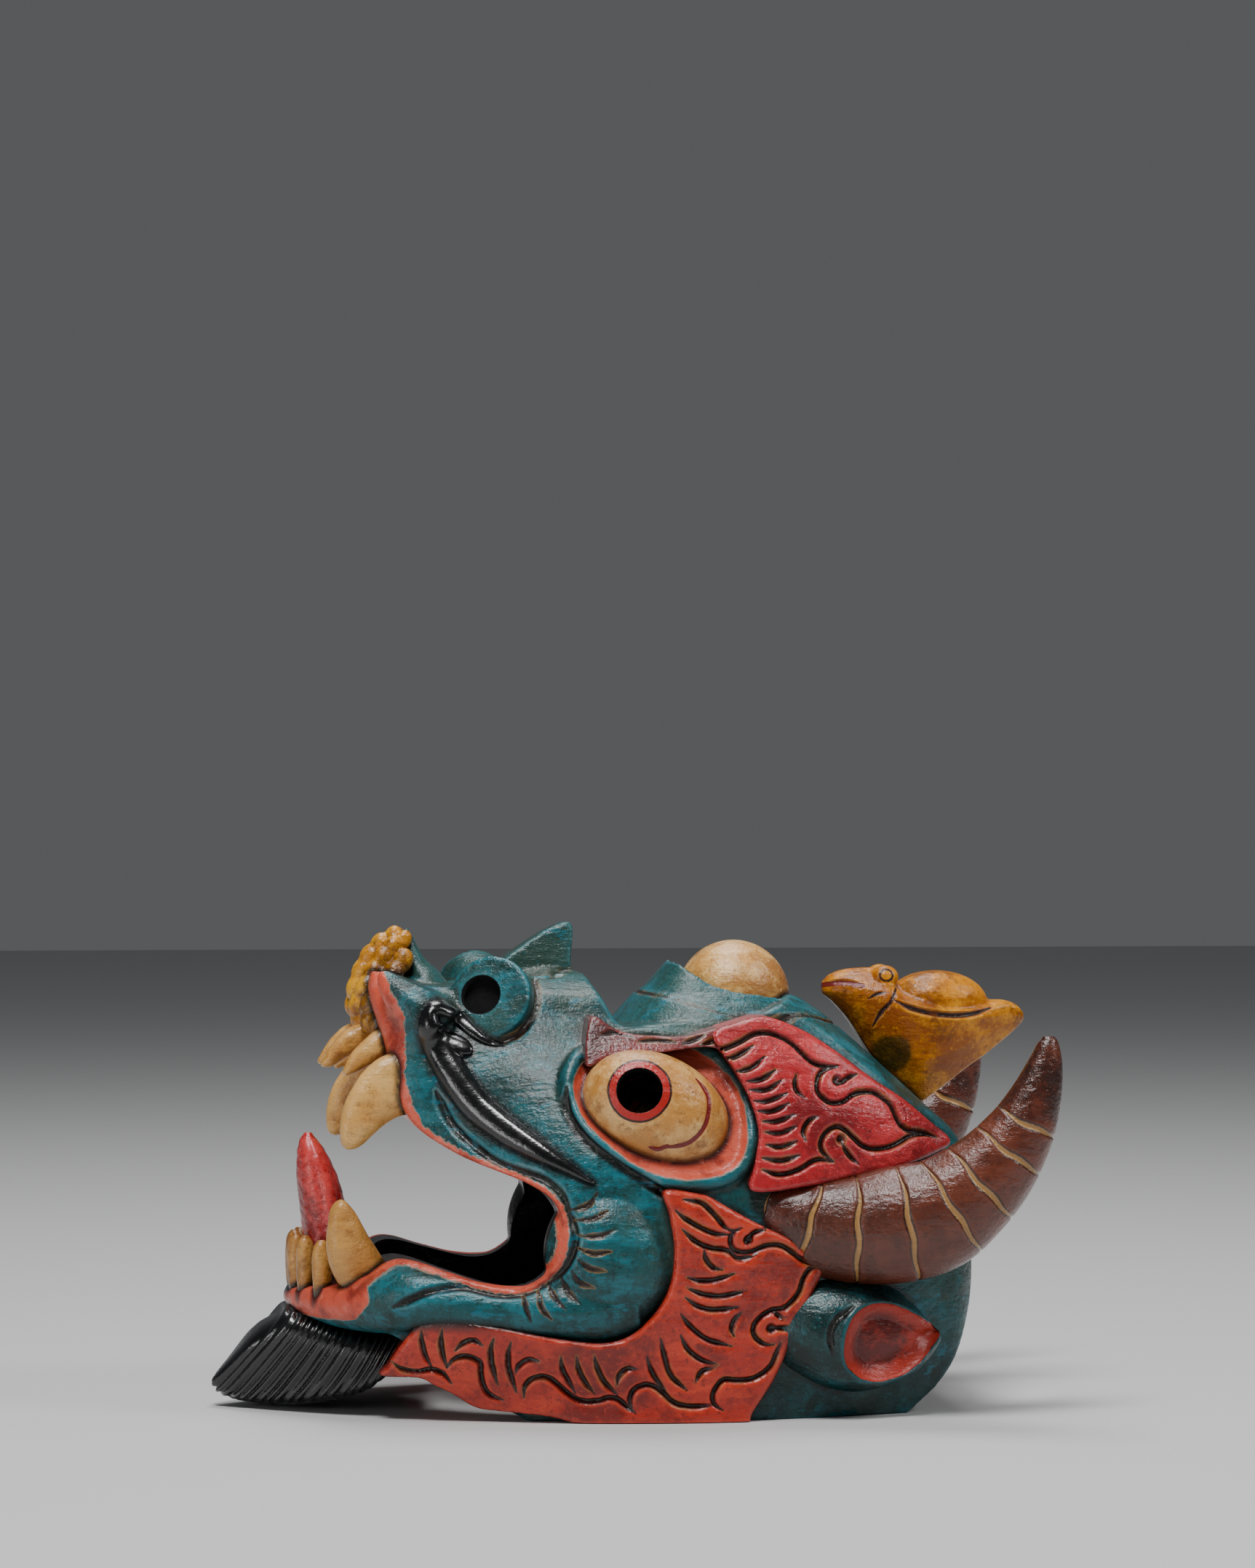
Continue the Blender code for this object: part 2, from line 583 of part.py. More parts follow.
def drawn_lines():
    """Carved lines: points, half width, and depth in shares of CARVED_LINE."""
    lines = [(LIP_LINE, 1.8, 0.9), (EYE_GROOVE, 1.8, 0.9), (FRINGE_SEAM, 2.0, 1.1), (SNOUT_LINE, 1.6, 0.8)]
    lines += [(line, 1.6, 1.0) for line in (*FLAME_LINES, *FRINGE_LINES)]
    lines += [(line, 1.3, 0.7) for line in (*WRINKLES, EAR_LINE)]
    return lines


def carve(obj):
    """Cuts the drawn lines and the beard's furrows into the skin."""
    mesh = obj.data
    count = len(mesh.vertices)
    places = np.empty(count * 3, np.float32)
    mesh.vertices.foreach_get("co", places)
    places = places.reshape(-1, 3).astype(float) / MM + (MIDDLE_X, 0, 0)
    normals = np.empty(count * 3, np.float32)
    mesh.vertex_normals.foreach_get("vector", normals)
    normals = normals.reshape(-1, 3).astype(float)
    depth = np.zeros(count)
    outward = np.abs(normals[:, 1]) > 0.25
    for points, half, share in drawn_lines():
        line = line_through(points, 4)
        near = np.full(count, 1e9)
        for a, b in zip(line, line[1:]):
            step = b - a
            t = np.clip(((places[:, [0, 2]] - a) @ step) / (step @ step), 0, 1)
            near = np.minimum(near, np.hypot(*(places[:, [0, 2]] - a - t[:, None] * step).T))
        cut = CARVED_LINE * share * np.clip(1.3 - near / half, 0, 1)
        depth = np.maximum(depth, cut * outward)
    depth = np.maximum(depth, BEARD_GROOVE * beard_furrows(places, normals))
    places -= normals * depth[:, None]
    places = (places - (MIDDLE_X, 0, 0)) * MM
    mesh.vertices.foreach_set("co", places.astype(np.float32).ravel())
    mesh.update()
    return obj


def beard_furrows(places, normals):
    """From 0 to 1, how deep each point of the beard lies in a furrow; they fan out from a point far above."""
    turn = np.degrees(np.arctan2(places[:, 2] - BEARD_FAN[1], places[:, 0] - BEARD_FAN[0]))
    furrow = 0.5 + 0.5 * np.cos(2 * math.pi * turn / BEARD_PITCH)
    furrow *= np.clip((-100 - places[:, 0]) / 8, 0, 1) * np.clip((places[:, 0] + 176) / 6, 0, 1)
    below_lip = (places[:, 2] < 42 + 0.2 * (places[:, 0] + 144)) & (places[:, 2] < 37)
    return furrow * below_lip * (normals[:, 2] > -0.4)


def make_mask():
    """The carved block, hollowed, bored, and planed flat underneath."""
    forms = make_core() + make_snout() + make_third_eye() + make_beard()
    for side in (-1, 1):
        forms += make_lips(side) + make_nostril(side) + make_eye(side) + make_cheek(side) + make_ear(side)
        forms.append(raised_field("flame", FLAME, side, FLAME_LIFT, FLAME_SHOULDER))
        forms.append(raised_field("brow", BROW_BAND, side, BROW_LIFT, FLAME_SHOULDER * 0.8))
        forms.append(raised_field("fringe", FRINGE, side, FRINGE_LIFT))
        for band in MOUSTACHE:
            forms.append(raised_field("moustache", band_outline(band), side, MOUSTACHE_LIFT))
    mask = as_one_block(join("mask", forms), VOXEL, 3)
    combine(mask, make_hollow(), "DIFFERENCE")
    for hole in bored_holes():
        combine(mask, hole, "DIFFERENCE")
    carve(mask)
    thin_out(mask, MASK_FACES)
    bm = bmesh.new()
    matrix = Matrix.Translation((0, 0, -20)) @ Matrix.Diagonal((500, 400, 40, 1))
    bmesh.ops.create_cube(bm, size=1, matrix=matrix)
    return combine(mask, mesh_object("ground", bm), "DIFFERENCE")


def make_hollow():
    """The wearer's hollow, a wall thickness inside the head's outer form and open at the back."""
    tops = (
        (-114, 58), (-104, 72), (-84, 78), (-60, 84), (-42, 98), (-22, 128), (0, 143), (24, 152), (50, 152),
        (78, 142), (104, 116), (126, 92), (133, 84),
    )
    rings = []
    for x, top in tops:
        near_front = min(1.0, 0.55 + (x - tops[0][0]) / 30)
        near_back = min(1.0, 0.75 + (tops[-1][0] - x) / 30)
        half = []
        for share in (0.0, 0.3, 0.55, 0.75, 0.9):
            z = share * top
            half.append(((half_width(x, z) - SHELL_WALL) * near_front * near_back, z))
        last = half[-1][0]
        half = [(w * math.sqrt(max(0.2, 1 - (z / top) ** 6)), z) for w, z in half] + [(last * 0.35, top)]
        half[0] = (half[0][0], -10.0)
        rings.append([(x, y, z) for y, z in half] + [(x, -y, z) for y, z in half[::-1]])
    return loft("hollow", rings)


def bored_holes():
    """The pupils right through the wall, and the shallow nostrils."""
    holes = []
    for side in (-1, 1):
        holes.append(drum("pupil", (-10, side * 110, 141), (3, side * 40, 124), PUPIL_RADIUS))
        face = Vector((-67, side * 45, 173.5))
        inward = Vector(NOSTRIL_INWARD) * Vector((1, side, 1))
        holes.append(drum("nostril_hole", face - inward * 8, face + inward * NOSTRIL_DEPTH, NOSTRIL_BORE))
    return holes


def turned(tooth, swing, x, y):
    """Turns a tooth about the upright line at x and y."""
    middle = Vector(((x - MIDDLE_X) * MM, y * MM, 0))
    turn = Matrix.Rotation(math.radians(swing), 4, "Z")
    tooth.data.transform(Matrix.Translation(middle) @ turn @ Matrix.Translation(-middle))
    return tooth


def fang(name, front, back, y, thickness, swing):
    """A tooth between its two drawn edges, oval across and turned about its middle."""
    edges = []
    for side in (front, back):
        line = line_through(side, 3)
        run = np.concatenate([[0], np.cumsum(np.hypot(*np.diff(line, axis=0).T))])
        steps = np.array(TOOTH_CUTS) * run[-1]
        edges.append(np.column_stack([np.interp(steps, run, line[:, k]) for k in (0, 1)]))
    widest = np.linalg.norm(edges[0] - edges[1], axis=1).max()
    rings = []
    for a, b in zip(*edges):
        middle, reach = (a + b) / 2, (a - b) / 2
        thick = thickness / 2 * (2 * np.linalg.norm(reach) / widest) ** 0.55
        turns = [math.pi * k / 4 for k in range(8)]
        rings.append([
            (middle[0] + reach[0] * math.cos(t), y + thick * math.sin(t), middle[1] + reach[1] * math.cos(t))
            for t in turns
        ])
    return turned(loft(name, rings), swing, edges[0].mean(0)[0], y)


def make_horn(name, side):
    """A tapering curved horn with rings cut across it."""
    path = line_through([(x, side * y, z, r) for x, y, z, r in HORN], 2)
    length = len(path) - 1
    points = []
    for i, (x, y, z, r) in enumerate(path):
        share = i / length
        near = min(abs(share - ring) * length for ring in HORN_RINGS)
        points.append((x, y, z, r - (HORN_GROOVE if near < 0.55 else 0.0)))
    return sweep(name, points, HORN_ROUND, sides=12, per_span=1)


def make_frog():
    """The frog on the crown: a wedge of a body, a humped back and a blunt head with bulging eyes."""
    half = FROG_WIDTH / 2
    rings = []
    stations = (
        (83, 0.14, 171, 173.5, 176), (87, 0.38, 168, 174, 179.5), (94, 0.58, 160, 173.5, 181.5),
        (103, 0.75, 146, 172, 182), (110, 0.9, 138, 169, 181), (116, 1.0, 132, 166.5, 173),
        (124, 1.0, 125.5, 164.5, 171), (134, 0.97, 131.5, 163, 169), (144, 0.85, 139, 162.5, 168),
        (153, 0.62, 145, 163.5, 168), (161, 0.4, 151, 164.5, 168), (167, 0.26, 156, 163.5, 166),
        (170, 0.12, 159, 161, 162.5),
    )
    for x, share, low, ridge, high in line_through(stations, 2):
        w = half * share
        flank = [
            (0.42 * w, low), (0.8 * w, low + 0.45 * (ridge - low)), (w, ridge - 2),
            (0.93 * w, ridge + 1.5), (0.6 * w, ridge + 0.75 * (high - ridge)), (0.15 * w, high),
        ]
        rings.append([(x, y, z) for y, z in flank] + [(x, -y, z) for y, z in flank[::-1]])
    body = loft("frog_body", rings)
    hump = ball("hump", (133, 0, 167.5), (21.5, 14.5, 13.2), tilt=3)
    eyes = [ball("frog_eye", (109, s * FROG_EYE, 178), (FROG_EYE, 5.5, 5.2)) for s in (-1, 1)]
    frog = as_one_block(join("frog", [body, hump, *eyes]), VOXEL * 0.6, 2)
    return thin_out(frog, FROG_FACES)


def make_tongue():
    """The tongue stands up behind the lower teeth."""
    path = (
        (-126, 0, 54, 9), (-127.5, 0, 66, 9.8), (-128.5, 0, 78, 10), (-130.5, 0, 90, 9.6),
        (-133, 0, 101, 7.6), (-134.8, 0, 109, 4.6), (-135.2, 0, 113.6, 1.6),
    )
    return sweep("tongue", path, TONGUE_ROUND, sides=10, per_span=1)


def make_teeth():
    """Fangs and incisors, each its own peg of wood."""
    teeth = []
    for side, word in ((-1, "left"), (1, "right")):
        teeth.append(fang(f"lower_fang_{word}", *LOWER_FANG, side * 49, FANG_THICKNESS, side * -24))
        teeth.append(fang(f"upper_fang_{word}", *UPPER_FANG, side * 43, FANG_THICKNESS, side * -10))
        for k, (x, y, z, swing) in enumerate(LOWER_INCISORS):
            path = [(x, side * y, z + rise, half) for rise, half in LOWER_INCISOR_RINGS]
            peg = sweep(f"lower_incisor_{word}_{k + 1}", path, LOWER_INCISOR_ROUND, sides=8, per_span=1)
            teeth.append(turned(peg, side * -swing, x, side * y))
        for k, (edges, y) in enumerate(zip(UPPER_INCISORS, UPPER_INCISOR_Y)):
            name = f"upper_incisor_{word}_{k + 1}"
            teeth.append(fang(name, *edges, side * y, UPPER_INCISOR_THICKNESS, side * -6))
    return teeth


def socket_for(piece):
    """The piece, grown by the glue gap, to cut its seat with."""
    seat = piece.copy()
    seat.data = piece.data.copy()
    bpy.context.scene.collection.objects.link(seat)
    bm = bmesh.new()
    bm.from_mesh(seat.data)
    bm.normal_update()
    for vert in bm.verts:
        vert.co += vert.normal * GLUE_GAP * MM * max(1.0, min(vert.calc_shell_factor(), 1.8))
    bm.to_mesh(seat.data)
    bm.free()
    return seat


def finish_piece(obj, paint):
    """Smooth shading and the piece's own paint."""
    colour, roughness = PAINT[paint]
    material = bpy.data.materials.new(obj.name + "_paint")
    material.use_nodes = True
    shader = material.node_tree.nodes["Principled BSDF"]
    shader.inputs["Base Color"].default_value = (*colour, 1.0)
    shader.inputs["Roughness"].default_value = roughness
    obj.data.materials.clear()
    obj.data.materials.append(material)
    obj.data.shade_smooth()
    obj.data.set_sharp_from_angle(angle=math.radians(40))


def main():
    for obj in list(bpy.data.objects):
        bpy.data.objects.remove(obj)
    mask = make_mask()
    horns = [make_horn("horn_left", -1), make_horn("horn_right", 1)]
    frog = make_frog()
    tongue = make_tongue()
    teeth = make_teeth()
    for piece in [*horns, frog, tongue, *teeth]:
        combine(mask, socket_for(piece), "DIFFERENCE")
    finish_piece(mask, "mask")
    finish_piece(frog, "frog")
    finish_piece(tongue, "tongue")
    for horn in horns:
        finish_piece(horn, "horn")
    for tooth in teeth:
        finish_piece(tooth, "tooth")


main()
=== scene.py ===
"""The looks of a carved and painted demon mask that lies face up on its open back.

The forms are drawn in millimetres from the middle of the mask's rim and made in metres. +X runs from
the beard to the crown and +Z is the way the face looks. Left pieces are drawn, and right ones are their
mirror images.
"""

import math

import bmesh
import bpy
import numpy as np
from mathutils import Matrix, Vector, bvhtree

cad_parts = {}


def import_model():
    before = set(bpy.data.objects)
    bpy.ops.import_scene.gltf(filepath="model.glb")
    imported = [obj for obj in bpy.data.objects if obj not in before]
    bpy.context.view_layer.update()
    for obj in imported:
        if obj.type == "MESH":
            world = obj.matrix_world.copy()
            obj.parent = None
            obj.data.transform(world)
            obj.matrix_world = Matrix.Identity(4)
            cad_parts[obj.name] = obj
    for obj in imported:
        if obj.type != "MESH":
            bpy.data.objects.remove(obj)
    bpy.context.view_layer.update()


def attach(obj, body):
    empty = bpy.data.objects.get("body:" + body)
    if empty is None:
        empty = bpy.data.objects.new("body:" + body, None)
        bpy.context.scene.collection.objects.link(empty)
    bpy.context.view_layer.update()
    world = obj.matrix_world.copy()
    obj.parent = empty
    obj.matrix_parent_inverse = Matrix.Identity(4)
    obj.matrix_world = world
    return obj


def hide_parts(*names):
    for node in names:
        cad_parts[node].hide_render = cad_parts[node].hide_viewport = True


MM = 0.001
MIDDLE_X = -2.35

# A cut is made again, up to this many times, if more than this share of the wood is left
CUT_TRIES = 4
LEAST_CUT = 0.99995

# A raised field is made again, moved by the next nudge, if its slab reaches deeper than this
DEEPEST_BED = 18.0
NUDGES = (0.0, 0.01, 0.02, 0.03)

# What the carving notes where no line is near, and how far a patch of paint is followed from its edge
OFF_LINE = 6.0
PATCH_REACH = 9.0

# The most triangles that the finest pieces keep
TRIANGLES = {
    "head": 196000, "flame": 64000, "fringe": 64000, "ear": 30000, "moustache": 28000, "beard": 95000,
    "gum": 50000, "frog": 42000,
}

# The level camera's place in metres and its lens in millimetres, worked out from the photo
CAMERA_AWAY = 2.2
CAMERA_HEIGHT = 0.26
CAMERA_TURN = math.radians(7)
CAMERA_LENS = 119.4

# The varnish's sheen, and how deep its brush and tool marks are, in metres
COAT_ROUGHNESS = 0.12
BUMP_DEPTH = 0.0011

# How far the floor lies below the rim, in metres
FLOOR_GAP = 0.0004

# Sizes and places of the carving, in millimetres, the nostril's direction, and the beard's and gum's angles
SHELL_WALL = 11.0
FLAME_LIFT = 7.0
BROW_LIFT = 4.9
FRINGE_LIFT = 7.0
PUPIL_RADIUS = 9.3
EYE_RING_RADIUS = 12.6
EYE_CENTRE = (3, 72, 126)
EYE_RADII = (32.0, 19.0, 23.0)
PUPIL_FROM = (-10, 110, 141)
PUPIL_TO = (3, 40, 124)
NOSTRIL_FACE = (-63, 45, 172.5)
NOSTRIL_HOLE = (-67, 45, 173.5)
NOSTRIL_RADIUS = 17.3
NOSTRIL_BORE = 8.2
NOSTRIL_INWARD = (0.36, -0.88, -0.31)
NOSTRIL_DEPTH = 6.0
SOCKET_RIM = 3.6
DOME_CENTRE = (45, 0, 170)
DOME_RADII = (24, 21, 24)
BEARD_FAN = (-20, 194)
BEARD_PITCH = math.radians(0.8)
EAR_HOLLOW_DEPTH = 10.0
FLAME_SHOULDER = 14.0
FIELD_OUTER = -140
FIELD_INNER = -12
BED_DEPTH = 5.0
UNDER_FLOOR = -20.0
BEARD_CUT = 1.7
GUM_TURN = math.radians(105)
GUM_SINK = 1.1
GUM_PITCH = 1.75

# The head's cross-sections: x, height at the middle, then the half width at each share of that height
SHARES = (0.0, 0.22, 0.44, 0.63, 0.77, 0.89)
HEAD = (
    (-146, 188, (5, 6, 6, 4, 4, 4)),
    (-142, 188, (16, 20, 18, 8, 8, 8)),
    (-134, 188, (32, 36, 32, 12, 10, 10)),
    (-125, 188, (41, 47, 43, 20, 16, 14)),
    (-111, 188, (49, 58, 52, 38, 35, 30)),
    (-98, 188, (54, 65, 60, 51, 48, 40)),
    (-84, 186, (58, 71, 67, 57, 52, 42)),
    (-66, 184, (62, 77, 77, 66, 57, 44)),
    (-45, 183, (69, 82, 85, 75, 63, 46)),
    (-20, 182, (75, 84, 88, 81, 66, 46)),
    (10, 182, (78, 84, 87, 81, 67, 44)),
    (40, 180, (77, 81, 83, 77, 63, 42)),
    (70, 172, (72, 76, 78, 75, 63, 42)),
    (100, 148, (63, 68, 70, 69, 61, 43)),
    (122, 128, (54, 58, 60, 59, 52, 38)),
    (134, 118, (46, 50, 53, 51, 45, 35)),
    (143, 110, (31, 34, 37, 35, 31, 24)),
)

# The side profile that the block is sawn to: the rim and jaw, the open mouth, then the top and crown
JAW_LINE = (
    (105, -4), (20, -5), (-34, -5), (-56, 3), (-70, 8), (-84, 16), (-94, 24), (-101, 33), (-112, 36.5),
    (-124, 38.5), (-138, 39.5), (-144, 44), (-143, 49),
)
MOUTH_LINE = (
    (-143, 49), (-134, 52), (-120, 54), (-112, 60), (-104, 65), (-96, 65), (-83, 61), (-70, 57),
    (-60, 55), (-51, 56), (-43, 61), (-38, 69), (-37, 78), (-38, 86), (-42, 92), (-50, 97), (-60, 101),
    (-70, 105), (-79, 109), (-90, 116), (-97, 123), (-101, 133), (-104, 147), (-108, 161), (-111, 173),
    (-110, 182),
)
TOP_LINE = (
    (-110, 182), (-100, 181), (-88, 177), (-74, 176), (-56, 178), (-38, 180), (-22, 181), (-19, 177),
    (-15, 170), (-10.5, 162), (-6, 159.5), (2, 160), (14, 161), (32, 162), (50, 164), (60, 168),
    (68, 171), (81, 163), (93, 153), (108, 140), (123, 126), (136, 113), (139, 100), (139.5, 58),
    (137, 38), (131, 21), (120, 7),
)

# Raised fields, drawn from the side
FLAME = (
    (27, 157), (38, 162), (50, 164), (64, 159), (77, 151), (89, 142), (96, 137), (107, 130), (118, 121),
    (128, 112), (120, 107), (102, 102), (83, 99), (66, 96), (41, 94), (42, 105), (44, 118), (41, 131),
    (35, 143),
)
BROW_BAND = (
    (-23, 164), (-14, 160), (-7, 157.5), (4, 156.5), (17, 156.5), (33, 160), (40, 156), (34, 150),
    (24, 152), (6, 150), (-6, 149), (-17, 148), (-26, 145),
)
FRINGE = (
    (4, 95), (18, 93.5), (23, 92), (30, 88), (37, 84), (46, 79.3), (55, 75), (62, 70.8), (71, 65),
    (70.5, 61.3), (67, 54), (64, 48.3), (61, 42.8), (59, 38.3), (57, 32.5), (54, 25), (50, 16.8),
    (46, 10.5), (41, 3), (36, -6), (0, -6), (-20, -4), (-40, 2), (-60, 4), (-68, 4.8), (-73, 6.5),
    (-80, 11), (-87, 14.3), (-94, 17.6), (-109, 18), (-106, 23), (-102, 30), (-97, 37), (-93, 41),
    (-80, 42), (-60, 39), (-40, 35), (-20, 33), (-8, 37), (2, 47), (7, 58), (8, 72), (6, 85),
)
# The moustache's band, its hook under the nostril and a lesser hook: x, z and half width
MOUSTACHE = (
    ((-88, 166.5, 3.4), (-88, 161, 5.2), (-85.6, 155, 6.6), (-81.8, 146.5, 6.9), (-77, 137.5, 6.9),
     (-69.8, 128, 6.8), (-59, 119, 6.2), (-47, 111.5, 4.8), (-36, 105, 2.9), (-28, 100, 1.4),
     (-24, 97.8, 0.5)),
    ((-88.5, 165, 3.4), (-86.6, 167.2, 3.4), (-83, 168, 3.2), (-77.7, 165.3, 3.1), (-72.5, 160.3, 2.8),
     (-67.3, 155.9, 2.1), (-62, 153.5, 1.4), (-57, 153, 0.6)),
    ((-84, 154.6, 4.4), (-80, 153.4, 4.6), (-76, 152.2, 4.3), (-72.8, 151, 3.3), (-70.6, 150.2, 1.6)),
)
# The width of the red along the upper lip by height, the back edge of the red on the jaw by height, and
# how high the black reaches inside by length
LIP_BAND = (
    (60, 1.7), (100, 1.7), (109, 2), (125, 3.2), (141, 3.8), (150, 6), (157, 8), (165, 9.5), (173, 7.5),
    (182, 3),
)
JAW_BAND = ((39, -126), (41, -119), (48, -114.5), (57, -115), (62, -111), (66, -105))
BLACK_TOP = ((-120, 86), (-104, 90), (-60, 104), (-42, 116), (-22, 146), (0, 165))
# The eye socket's rim
SOCKET = (
    (-33, 133), (-31, 143), (-24, 150), (-10, 155), (6, 156), (22, 152), (33, 144), (40, 133), (42, 118),
    (39, 106), (30, 99), (15, 97), (1, 99), (-11, 105), (-22, 114), (-29, 122),
)

# The third eye's lid: each ring's ends along x, its half width, and the height of its edge along x
LID_RINGS = (
    (-12, 98, 58, ((-12, 155), (10, 150), (98, 120))),
    (4.3, 88, 41, ((4.3, 172.8), (14, 171.5), (26, 167.6), (38, 164), (50, 161.5), (88, 148))),
    (7, 85, 38.5, ((7, 173.6), (14, 172), (26, 168.2), (38, 164.6), (50, 162.2), (85, 150))),
    (17.5, 73, 27, ((17.5, 185.4), (19.5, 185.2), (24, 182), (32, 176.5), (41, 173.5), (53, 172),
      (68, 169), (73, 166))),
    (21, 71, 24.5, ((21, 182.6), (24, 180.4), (32, 174.4), (41, 171.4), (53, 170), (71, 165))),
    (26, 66, 17, ((26, 172), (66, 163))),
)
LID_PLAN = 0.78

# Carved lines on the flame, drawn from the side
FLAME_LINES = (
    ((24, 151), (30, 151.5), (38, 154.5), (44, 157.5), (50, 158), (56, 156), (60, 153.5), (64, 149.5),
     (68, 146), (73, 144.4), (79, 144.2)),
    ((79, 143.8), (74, 143.2), (71, 141.3), (69.5, 138), (69.5, 134.3), (71.5, 131.6), (75, 129.5),
     (80, 129.8), (84, 132.2), (88, 133.5), (93, 133.5), (97, 131.5), (101, 128), (103, 123.6),
     (105, 119.8), (109, 117.3), (114, 116.6), (122, 113.6)),
    ((78, 136.8), (80.5, 137.8), (83, 139.5), (87, 140.6)),
    ((120, 114.4), (114, 115.6), (109, 114.8), (104, 112.4), (99, 110.7), (93, 110.2), (88, 111.6),
     (84, 115.1), (81, 117.9), (78, 119.6), (75, 119.2), (72, 117.2), (70, 114), (70, 110.8), (72, 108),
     (75, 105.5)),
    ((79, 113), (80.5, 110), (83, 106.8), (86, 104.2)),
    ((44.5, 103), (52, 100.8), (60, 102.5), (66, 105.8), (70, 106.5), (75, 105.2)),
    ((60.5, 141), (60, 138), (60.5, 134.8), (63.5, 131.5)),
    ((69, 124), (66, 123), (63.5, 120.5), (62.5, 117.2), (63.5, 114)),
)
FLAME_CUTS = (
    ((30, 147), (36, 148.7), (43.5, 152.8)), ((34.5, 142), (42, 144), (48, 148.5)),
    ((39.5, 138.4), (46, 139.4), (52, 143)), ((40.5, 135), (48, 135.2), (54.5, 138.9)),
    ((42, 130.5), (48, 130.6), (56.5, 133.6)), ((43.5, 126.5), (50, 126.5), (57, 129.6)),
    ((45.5, 122.3), (52, 122.4), (59, 125)), ((46, 118), (53, 117.6), (60, 120.4)),
    ((46.5, 113), (53, 112), (60, 114.2)), ((45, 107.5), (53, 106.4), (61, 108.6)),
)
FLAME_PITS = ((78, 138.4), (78.5, 114.5))

# Carved lines on the fringe, drawn from the side
FRINGE_LINES = (
    ((11, 91.7), (15, 91), (19, 90.1), (22.5, 87.2), (25.5, 84), (28, 80.8), (30, 79.1), (33, 78.4)),
    ((36, 79.5), (33, 78.2), (31.3, 75.5), (31.5, 72.6), (33, 70.4), (37, 69.4), (41, 70), (46, 71.9),
     (51, 72.1), (55, 70.5), (59, 67.5), (63, 65), (70, 64.2)),
    ((46, 79), (41, 77.3), (38, 74)), ((8, 87.2), (13, 83.2), (19, 79.8), (25, 77.3), (31, 77)),
    ((11, 79.4), (16, 74.8), (22, 71.8), (28, 70.8), (31, 69.8), (34, 67.1), (38, 67.2), (42, 68.5)),
    ((70, 64), (65, 62), (62, 57.8), (60.5, 53), (58, 49.5), (54, 46.2), (49, 45.5), (45, 43.4),
     (42, 40.5), (41, 37.1), (42.5, 33.8), (46, 31.5), (50, 31.3)),
    ((49, 38.2), (58, 37.5)), ((50, 44.5), (53, 42)),
    ((53, 32.6), (51.5, 29), (49, 23), (45, 19.3), (40, 17.2), (34, 17), (29, 17.2), (26, 14.3),
     (24.5, 10.5), (25.5, 7), (29, 4.6)),
    ((-105, 24), (-101, 21.1), (-95, 20), (-90, 21.1), (-85, 19.7), (-81, 15.4)),
    ((-83, 22), (-81, 25.2), (-77, 27), (-73, 26.3), (-70, 24.2), (-69.5, 19.5), (-68.5, 15), (-66, 11),
     (-60, 8.6)),
    ((-52, 10), (-52, 14), (-50, 17.3), (-46, 18.9), (-42, 18.2), (-38.5, 15.4), (-35, 12.3), (-31, 9.6),
     (-27, 8.7), (-22, 9.1), (-18, 10.3), (-14, 9.4), (-10, 6), (-7, 4)),
    ((-8, 4.5), (-9.5, 9), (-8, 13.5), (-4, 15.5), (0, 15), (4, 12), (8, 8.5), (12, 7), (18, 6.5),
     (25, 7)),
)
FRINGE_CUTS = (
    ((13, 59.7), (19, 58.2), (26, 58.7), (33, 61)), ((13, 55.5), (20, 52.6), (28, 51.8), (38, 53.7)),
    ((12.5, 51.5), (18, 47.7), (25, 46.2), (35, 47)), ((10.5, 45), (15, 39.3), (22, 34), (32, 31.1)),
    ((10.5, 36.4), (14, 30), (20, 25.4), (26.5, 23.6)), ((2.5, 35), (4, 28.5), (7, 19.5), (14, 12.9)),
    ((-3, 27.5), (-1, 21.5), (2, 16.5), (6, 11.2)), ((20, 71), (21, 67), (24, 63.5), (28, 62.6)),
    ((36, 44.8), (33, 41.6), (32, 38), (33, 35)), ((25, 22.3), (20, 20.9), (17, 16.2)),
    ((-80, 29.5), (-77, 32.6), (-73, 33.8), (-69, 31.6)),
    ((-56, 20), (-54.5, 23.5), (-51, 26), (-46.5, 25.5)),
    ((-15, 15.5), (-14, 19.5), (-11, 22.3), (-6.5, 22.1)),
    ((-93.5, 38), (-93.5, 33), (-92, 27), (-89, 22)),
    ((-85.5, 38.5), (-85.8, 33), (-85, 27.3), (-83, 21.8)),
    ((-64.8, 35), (-66, 30), (-65.5, 24.5), (-64, 19), (-62.5, 15)),
    ((-58, 33.3), (-59, 28.3), (-58.5, 22), (-56.5, 15.8), (-55, 12)),
    ((-38, 28), (-37, 22), (-34, 16.3), (-31.5, 12.2)),
    ((-31.5, 28), (-30.5, 22.1), (-27.5, 16.3), (-23.5, 11.8)),
    ((-24.5, 28.3), (-23, 22.8), (-20, 16.8), (-14.5, 11.5)),
)
FRINGE_PITS = ((38.5, 74.3), (48.5, 37.8))

